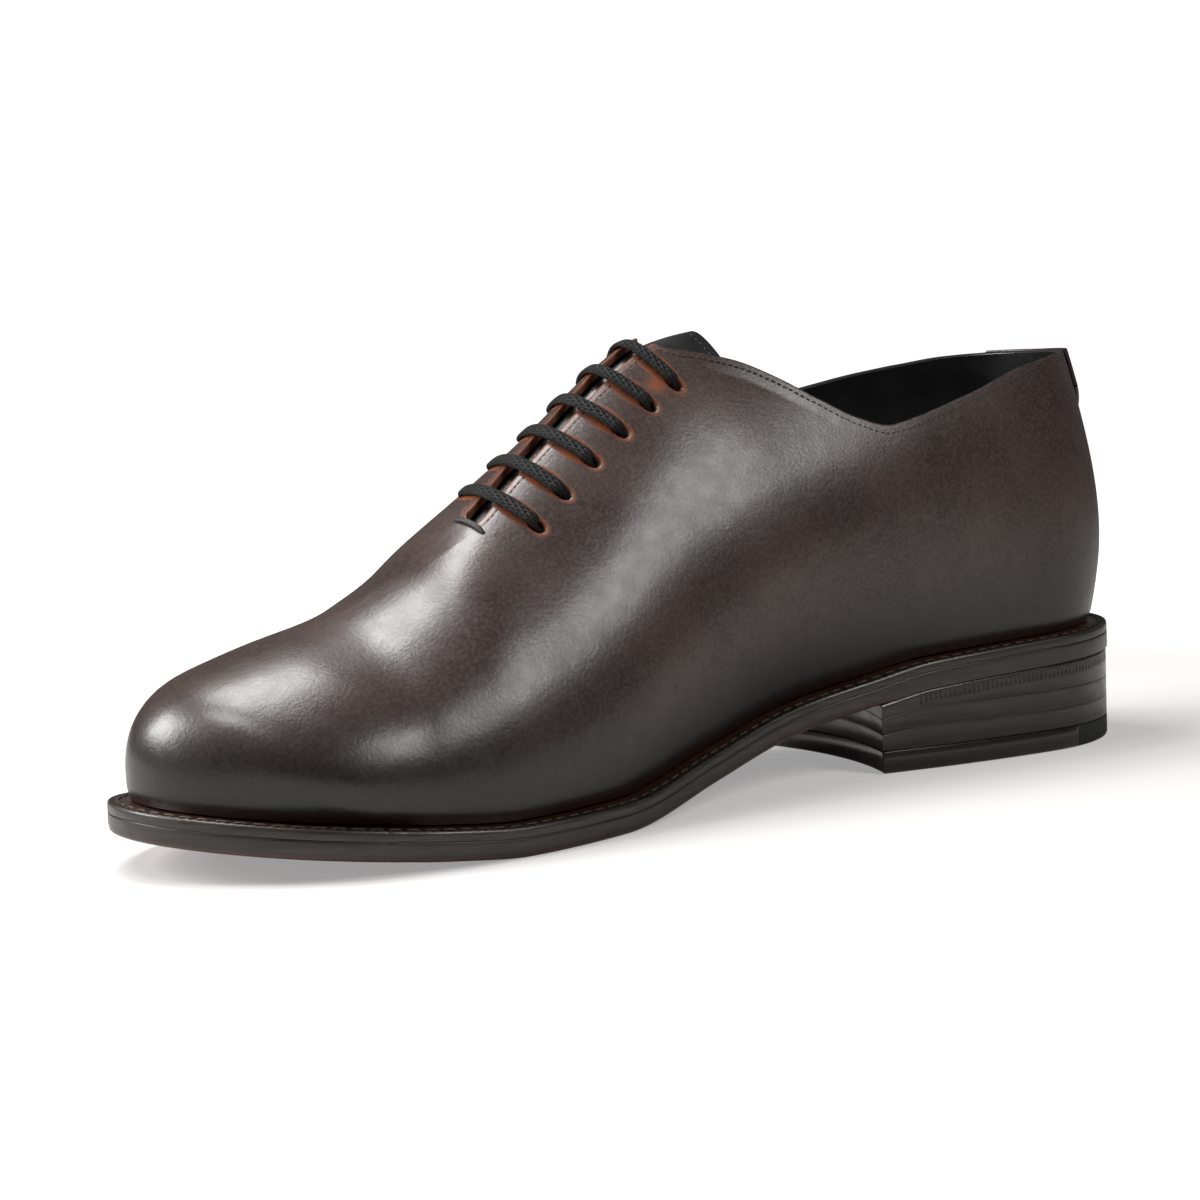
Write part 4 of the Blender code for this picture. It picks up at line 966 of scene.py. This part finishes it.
def makeHeel():
    # The stack, and the two top pieces with a thin gap along their oblique joint.
    halfGap = heel["gap"] / 2
    makeHeelStack()
    makeTopPiece("leather_top_piece", heelOutline(breastX, lambda y: rubberX(y) + halfGap), soleLeather,
                 "heel_top_piece_leather")
    makeTopPiece("rubber_top_piece", heelOutline(lambda y: rubberX(y) - halfGap), heelRubber,
                 "heel_top_piece_rubber")


nails = {"inCluster": 3, "apart": 0.0022, "turnBy": 90,
         "clusters": ((0.062, 0.024), (0.074, 0.021), (0.049, 0.026), (0.066, -0.025), (0.079, -0.022))}


def makeNails():
    # Clusters of nail heads on the leather top piece, a little proud of it.
    turn = np.linspace(0.0, 2 * math.pi, 13)[None, :]
    radius = np.array((0.0, 0.0005, 0.0008, 0.0009))[:, None]
    low = np.array((-0.00005, -0.00004, 0.0, 0.0004))[:, None]
    grids = []
    for x, y in nails["clusters"]:
        for k in range(nails["inCluster"]):
            aside = 2 * math.pi * k / nails["inCluster"] + x * nails["turnBy"]
            at = np.array((x, y)) + nails["apart"] * np.array((math.cos(aside), math.sin(aside))) - middle
            grids.append(np.stack((at[0] + radius * np.cos(turn), at[1] + radius * np.sin(turn),
                                   low + 0 * turn), axis=-1))
    putPiece("heel_nails", grids, brass, merge=1e-8)


makeWelt()
makeWeltStitches()
makeOutsole()
makeHeel()
makeNails()
print("bottom made")


# Tongue, sock, heel tab

def shell(top, under, bulge):
    # Grids of a closed sheet: two faces, and four rims rounded outwards by bulge.
    turn = np.linspace(0.0, math.pi, 7)
    rims = []
    for edge, inside in ((np.s_[0, :], np.s_[1, :]), (np.s_[-1, :], np.s_[-2, :]),
                         (np.s_[:, 0], np.s_[:, 1]), (np.s_[:, -1], np.s_[:, -2])):
        a, b = top[edge], under[edge]
        outward = unit((a + b) - (top[inside] + under[inside]))
        share = (1 - np.cos(turn))[None, :, None] / 2
        rims.append(a[:, None] * (1 - share) + b[:, None] * share
                    + outward[:, None] * (bulge * np.sin(turn))[None, :, None])
    return [top, under[:, ::-1]] + rims


tongue = {
    "half": 0.0225, "above": 0.0180, "below": 0.012, "thick": 0.0018, "clear": 0.0007, "drop": 0.0015,
    "stitchIn": 0.0026, "stitches": 26, "tipNarrow": 0.10, "footNarrow": 0.4, "arch": 0.009, "lean": 0.004,
}


def makeTongue():
    start = last["throatFoot"] * last["length"] + tongue["below"]
    finish = last["throatTop"] * last["length"] - tongue["above"]
    share = np.linspace(0.0, 1.0, 110)[:, None]
    across = np.linspace(-1.0, 1.0, 61)[None, :]
    narrow = ((1 - tongue["tipNarrow"] * shareOf(share, 0.85, 1.0) ** 2)
              * (1 - tongue["footNarrow"] * shareOf(share, 0.2, 0.0)))
    # The free end is an arch: the corners lie back from its middle
    x = start + (finish - start) * share + tongue["arch"] * np.abs(across) ** 3 * shareOf(share, 0.7, 1.0)
    widths = tongue["half"] * narrow * across + swing(x) + tongue["lean"] * shareOf(share, 0.75, 1.0) ** 2
    spot = acrossThroat(x, widths)
    depth = last["wall"] + tongue["clear"] + tongue["drop"] * shareOf(share, 0.8, 1.0) + 0 * widths
    top, under = (placed(wallPoint(*spot, deep)) for deep in (depth, depth + tongue["thick"]))
    putPiece("black_tongue", shell(top, under, tongue["thick"] * 0.35), tongueLeather, ["tongue"],
             merge=1e-8)
    # Stitches along the free end
    row = int(np.argmin(np.abs((1 - share) * (start - finish) - tongue["stitchIn"])))
    line = evenly(top[row, 2:-2], tongue["stitches"])
    ups = np.tile(unit(top[row, 30] - under[row, 30]), (len(line), 1))
    stitchRow("tongue_stitches", line, ups, 0.0011, 0.0002, darkThread)


def makeSock():
    # Insole and sock: a plate inside the welt that dishes a little towards its middle.
    dish = 0.0009
    sheet, across = plate(featherLoop - loopNormal * sole["insoleIn"], 200, 40)
    high = placed(sheet, sole["feather"] + sole["insoleRise"])
    high[..., 2] -= dish * np.sin(math.pi * across) ** 0.7
    low = placed(sheet, sole["weltFoot"])
    putPiece("sock_and_insole", [high, low[:, ::-1]], sockLeather, ["insole"], merge=1e-8,
             outward=False)


tab = {"thick": 0.0011, "high": 0.021, "half": math.radians(34), "clear": 0.0004, "round": 0.75,
       "stitches": 34, "bulge": 0.0003}


def makeHeelTab():
    turns = np.linspace(-1.0, 1.0, 73)[:, None]
    station = fanStation * np.abs(turns) * tab["half"] / (math.pi / 2)
    high = collarTurn[True](last["heelFan"] * (1 - np.cos(station / fanStation * math.pi / 2)))
    tall = section["top"](station) * last["instep"]
    low = np.arcsin((tall * np.sin(high) - tab["high"] * np.sqrt(1 - tab["round"] * turns ** 2)) / tall)
    angle = low + (high - low) * np.linspace(0.0, 1.0, 50)[None, :]
    under, top = (placed(wallPoint(station, angle, turns >= 0, -out))
                  for out in (tab["clear"], tab["clear"] + tab["thick"]))
    putPiece("calf_heel_tab", shell(top, under, tab["bulge"]), tabLeather, ["heel_tab"],
             merge=1e-8)
    # Stitches along its lower edge
    line = evenly(top[3:-3, 4], tab["stitches"])
    ups = unit(line - np.array((line[:, 0].max() + 0.03, 0.0, line[:, 2].mean())))
    stitchRow("heel_tab_stitches", line, ups, 0.0011, 0.0002, darkThread)


makeTongue()
makeSock()
makeHeelTab()
print("tongue, sock and tab made")


# Lace

lace = {"width": 0.0042, "thick": 0.0013, "clear": 0.0001, "flat": 0.00045, "bow": 0.0002,
        "plungeFrom": 0.90, "plunge": 0.0012, "insideClear": 0.00035, "pinch": 0.22}
# The hidden first run: number of the pair beside it, and its way out from the throat's line
hiddenEnd = ((5, -0.0185), (3, -0.0190), (1, -0.0180), (0, -0.0150))


def barPath(pair, sign):
    # Centre line of one bar over the throat and into its two holes, with the surface's
    # normals. sign says from which side it starts.
    share = np.linspace(-1.0, 1.0, 41) * sign
    x = np.full(share.shape, eyeletX(pair))
    foot, normal = wallFrame(*acrossThroat(x, share * eyeletOut(pair) + swing(x)), 0.0, -0.001)
    # The bar lies tight on the ridge and bows a little between its holes
    arch = lace["clear"] + lace["thick"] / 2 + lace["bow"] * (1 - share ** 2)
    plunge = shareOf(np.abs(share), lace["plungeFrom"], 1.0) ** 2
    return foot + normal * (arch * (1 - plunge) - lace["plunge"] * plunge)[:, None], normal


def insidePath(stops):
    # Hidden run inside the wall through stops of (pair, width), without its two ends.
    at = np.linspace(0.0, 1.0, len(stops))
    run = np.linspace(0.0, 1.0, 12 * (len(stops) - 1) + 1)
    along = np.interp(run, at, [eyeletX(pair) for pair, width in stops])
    across = np.interp(run, at, [width for pair, width in stops])
    depth = last["wall"] + lace["insideClear"]
    foot, normal = wallFrame(*acrossThroat(along, across + swing(along)), depth, -depth)
    return foot[1:-1], normal[1:-1]


def laceRoute():
    # One lace from a hidden end at the top, down the outer side inside the wall to the
    # first hole, then over and under the facings, bar by bar, to the top again.
    runs = [(*insidePath(hiddenEnd), lace["flat"])]
    for pair in range(throat["pairs"]):
        sign = 1.0 if pair % 2 == 0 else -1.0
        runs.append((*barPath(pair, sign), lace["thick"]))
        if pair < throat["pairs"] - 1:
            stops = [(number, sign * eyeletOut(number)) for number in (pair, pair + 1)]
            runs.append((*insidePath(stops), lace["flat"]))
    paths, normals, thicks = zip(*runs)
    thick = np.concatenate([np.full(len(path), size) for path, size in zip(paths, thicks)])
    return np.vstack(paths), np.vstack(normals), thick


def smoothed(values, rounds):
    for _ in range(rounds):
        values = np.concatenate((values[:1], (values[:-2] + 2 * values[1:-1] + values[2:]) / 4, values[-1:]))
    return values


def makeLace():
    # Flat oval profile carried along the route: point = centre + side * w cos + up * t sin,
    # with the powers of a soft rectangle. Returns the lace's length.
    path, normal, thick = laceRoute()
    thick = smoothed(thick, 3)
    normal = unit(smoothed(normal, 2))
    tangent = unit(np.gradient(path, axis=0))
    side = unit(np.cross(tangent, normal))
    lift = np.cross(side, tangent)
    # The lace folds narrow where it goes into a hole
    change = smoothed(np.abs(np.gradient(thick)), 4) / thick.max()
    pinch = 1.0 - lace["pinch"] * bell(change * 6 - 1, 1.0)
    turn = np.linspace(0.0, 2 * math.pi, 21)[None, :]
    across = np.sign(np.cos(turn)) * np.abs(np.cos(turn)) ** 0.7
    upward = np.sign(np.sin(turn)) * np.abs(np.sin(turn)) ** 0.8
    grid = (path[:, None] + side[:, None] * (lace["width"] / 2 * pinch[:, None] * across)[..., None]
            + lift[:, None] * (thick[:, None] / 2 * upward)[..., None])
    walked = walkedAlong(path)
    uv = np.stack((walked[:, None] + 0 * turn, turn / (2 * math.pi) + 0 * walked[:, None]), axis=-1)
    putPiece("waxed_lace", [grid], braid, [f"lace_bar_{k + 1}" for k in range(throat["pairs"])],
             uvs=[uv], merge=1e-9)
    return walked[-1]


laceLength = makeLace()
print(f"lace made, {laceLength:.3f} m long")


# Stitching on the upper

seams = {
    "pitch": 0.0017, "thick": 0.00019, "collarIn": 0.0022, "collarLong": 0.00125, "throatIn": 0.0020,
    "throatLong": 0.0012, "backPitch": 0.0022, "backThick": 0.00022, "backLong": 0.0016, "backBeside": 0.035,
    "backLow": math.radians(5), "backUnderTop": math.radians(14),
}


def insetLine(run, inner, inset):
    # Points on the wall at a distance inside its top edge, with the way out there.
    top = topAngle(run, inner)
    shares = np.linspace(0.0, 0.6, 400)[None, :]
    sheet = lastPoint(run[:, None] + 0 * shares, *overRidge(top[:, None] - shares, inner))
    walked = np.cumsum(np.linalg.norm(np.diff(sheet, axis=1), axis=-1), axis=1)
    angle = top - shares[0, 1 + np.argmax(walked > inset, axis=1)]
    return wallFrame(run, angle, inner, 0.0)


def stitchAlong(name, line, ups, pitch, length, radius):
    count = max(int(walkedAlong(line)[-1] / pitch), 3)
    stitchRow(name, evenly(line, count), unit(evenly(ups, count)), length, radius, darkThread)


def makeUpperStitches():
    collarRun = np.linspace(0.0, throatTopStation - 0.002, 400)
    throatRun = np.linspace(throatTopStation + 0.001, throatFootStation - 0.004, 200)
    for inner, side in ((True, "inner"), (False, "outer")):
        stitchAlong(f"collar_stitches_{side}", *insetLine(collarRun, inner, seams["collarIn"]),
                    seams["pitch"], seams["collarLong"], seams["thick"])
        stitchAlong(f"throat_stitches_{side}", *insetLine(throatRun, inner, seams["throatIn"]),
                    seams["pitch"], seams["throatLong"], seams["thick"])
    # Two rows beside the back seam, from the welt to the heel tab
    angles = np.linspace(seams["backLow"], collarTurn[True](0.0) - seams["backUnderTop"], 120)
    for inner, side in ((True, "inner"), (False, "outer")):
        row = wallFrame(fanStation * seams["backBeside"], angles, inner, 0.0)
        stitchAlong(f"back_seam_stitches_{side}", *row, seams["backPitch"], seams["backLong"],
                    seams["backThick"])


tack = {"half": 0.0054, "ahead": 0.0012, "bow": 0.0006, "aside": 0.0012, "arch": 0.0009, "sunk": 0.0005,
        "wide": 0.0008, "high": 0.0007}


def makeBarTack():
    # Short cord that bridges the foot of the throat, its ends sunk in the leather.
    x = last["throatFoot"] * last["length"] + tack["ahead"]
    share = np.linspace(-1.0, 1.0, 31)
    spot = acrossThroat(x + tack["bow"] * share ** 2, share * tack["half"] + swing(x) + tack["aside"])
    path, normal = wallFrame(*spot, tack["sunk"] - tack["arch"] * (1 - share ** 4))
    side = np.cross(unit(np.gradient(path, axis=0)), normal)
    turn = np.linspace(0.0, 2 * math.pi, 13)[None, :]
    grid = (path[:, None] + tack["wide"] * np.cos(turn)[..., None] * side[:, None]
            + tack["high"] * np.sin(turn)[..., None] * normal[:, None])
    putPiece("bar_tack", [grid], darkThread, merge=1e-9)


makeUpperStitches()
makeBarTack()
print("stitches made")


# Studio

studio = {
    "floor": "#c4c1be", "floorHalf": 6.0, "paperNear": 0.30, "paperGlow": 0.02, "glowFrom": 0.24,
    "glowFull": 0.55, "world": "#ffffff", "worldStrength": 0.085, "wallStrength": 1.1,
}
photoView = {
    "eye": (0.4979, 0.5155, 0.1164), "yaw": -0.701, "pitch": 0.038, "roll": -0.029,
    "focal": 1628.0, "frame": 1200.0, "aimPixel": (402.0, 716.0), "zoom": 1.47,
}
# Name, place, aim, size, watts
lamps = (
    ("window beyond toe", (0.80, -0.42, 0.50), (0.14, 0.0, 0.03), (0.40, 0.44), 9.0),
    ("window over", (0.15, -0.27, 0.98), (0.08, 0.0, 0.05), (0.44, 0.34), 7.5),
    ("window ahead", (0.54, -0.02, 0.89), (0.13, 0.0, 0.03), (0.24, 0.24), 3.0),
    ("side window", (-0.27, 0.66, 0.62), (0.03, 0.03, 0.06), (0.26, 0.40), 3.2),
)


def aimAt(thing, place, aim, side=None):
    # Looks from place to aim along the object's -Z, with its +X level or along side.
    back = unit(place - aim)
    right = unit(np.cross((0.0, 0.0, 1.0), back)) if side is None else side
    matrix = np.eye(4)
    matrix[:3] = np.column_stack((right, np.cross(back, right), back, place))
    thing.matrix_world = Matrix(matrix.tolist())


def makeFloor():
    # Paper that shines a little of its own, and more far off, so that it runs into the wall.
    mesh = bpy.data.meshes.new("floor")
    half = studio["floorHalf"]
    corners = [(-half, -half, 0), (half, -half, 0), (half, half, 0), (-half, half, 0)]
    mesh.from_pydata(corners, [], [(0, 1, 2, 3)])
    material, tree, shader, place = newMaterial("matt studio paper")
    away = addNode(tree, "ShaderNodeVectorMath", {0: place}, operation="LENGTH").outputs["Value"]
    seen = addNode(tree, "ShaderNodeLightPath").outputs["Is Camera Ray"]
    paper = ramp(tree, away, studio["glowFrom"], studio["glowFull"], studio["paperNear"], 1.0)
    setSockets(tree, shader, {
        "Base Color": hexColour(studio["floor"]), "Roughness": 0.8, "Specular IOR Level": 0.1,
        "Emission Color": hexColour("#ffffff"),
        "Emission Strength": maths(tree, "MULTIPLY_ADD", seen, paper, studio["paperGlow"])})
    mesh.materials.append(material)
    addObject("floor", mesh)


def makeLight():
    # The camera sees a white wall; the shoe gets a dimmer light from all round, and lamps.
    world = bpy.data.worlds.new("studio")
    bpy.context.scene.world = world
    world.use_nodes = True
    tree = world.node_tree
    seen = addNode(tree, "ShaderNodeLightPath").outputs["Is Camera Ray"]
    setSockets(tree, tree.nodes["Background"], {
        0: hexColour(studio["world"]),
        1: ramp(tree, seen, 0.0, 1.0, studio["worldStrength"], studio["wallStrength"])})
    for name, place, aim, size, watts in lamps:
        data = bpy.data.lights.new(name, "AREA")
        data.shape = "RECTANGLE"
        data.size, data.size_y = size
        data.energy = watts
        lamp = addObject(name, data)
        aimAt(lamp, np.array(place), np.array(aim))


def makeCamera():
    # The photo's eye and tilt, turned to the shoe that stands: its middle in the photo is
    # aimPixel, and zoom closes the frame in on it.
    yaw, pitch, roll = photoView["yaw"], photoView["pitch"], photoView["roll"]
    look = np.array((math.sin(yaw) * math.cos(pitch), -math.cos(yaw) * math.cos(pitch), -math.sin(pitch)))
    right = unit(np.cross(look, (0.0, 0.0, 1.0)))
    up = np.cross(right, look)
    right, up = right * math.cos(roll) + up * math.sin(roll), up * math.cos(roll) - right * math.sin(roll)
    aside, down = np.array(photoView["aimPixel"]) - photoView["frame"] / 2
    turned = unit(look * photoView["focal"] + aside * right - down * up)
    eye = np.array(photoView["eye"]) - np.append(middle, 0.0)
    data = bpy.data.cameras.new("camera")
    data.sensor_width = 36.0
    data.lens = data.sensor_width * photoView["focal"] / photoView["frame"] * photoView["zoom"]
    data.clip_start = 0.05
    camera = addObject("camera", data)
    aimAt(camera, eye, eye + turned, unit(right - turned * (right @ turned)))
    bpy.context.scene.camera = camera


makeFloor()
makeLight()
makeCamera()
bpy.context.scene.view_settings.view_transform = "Standard"
print("studio made")
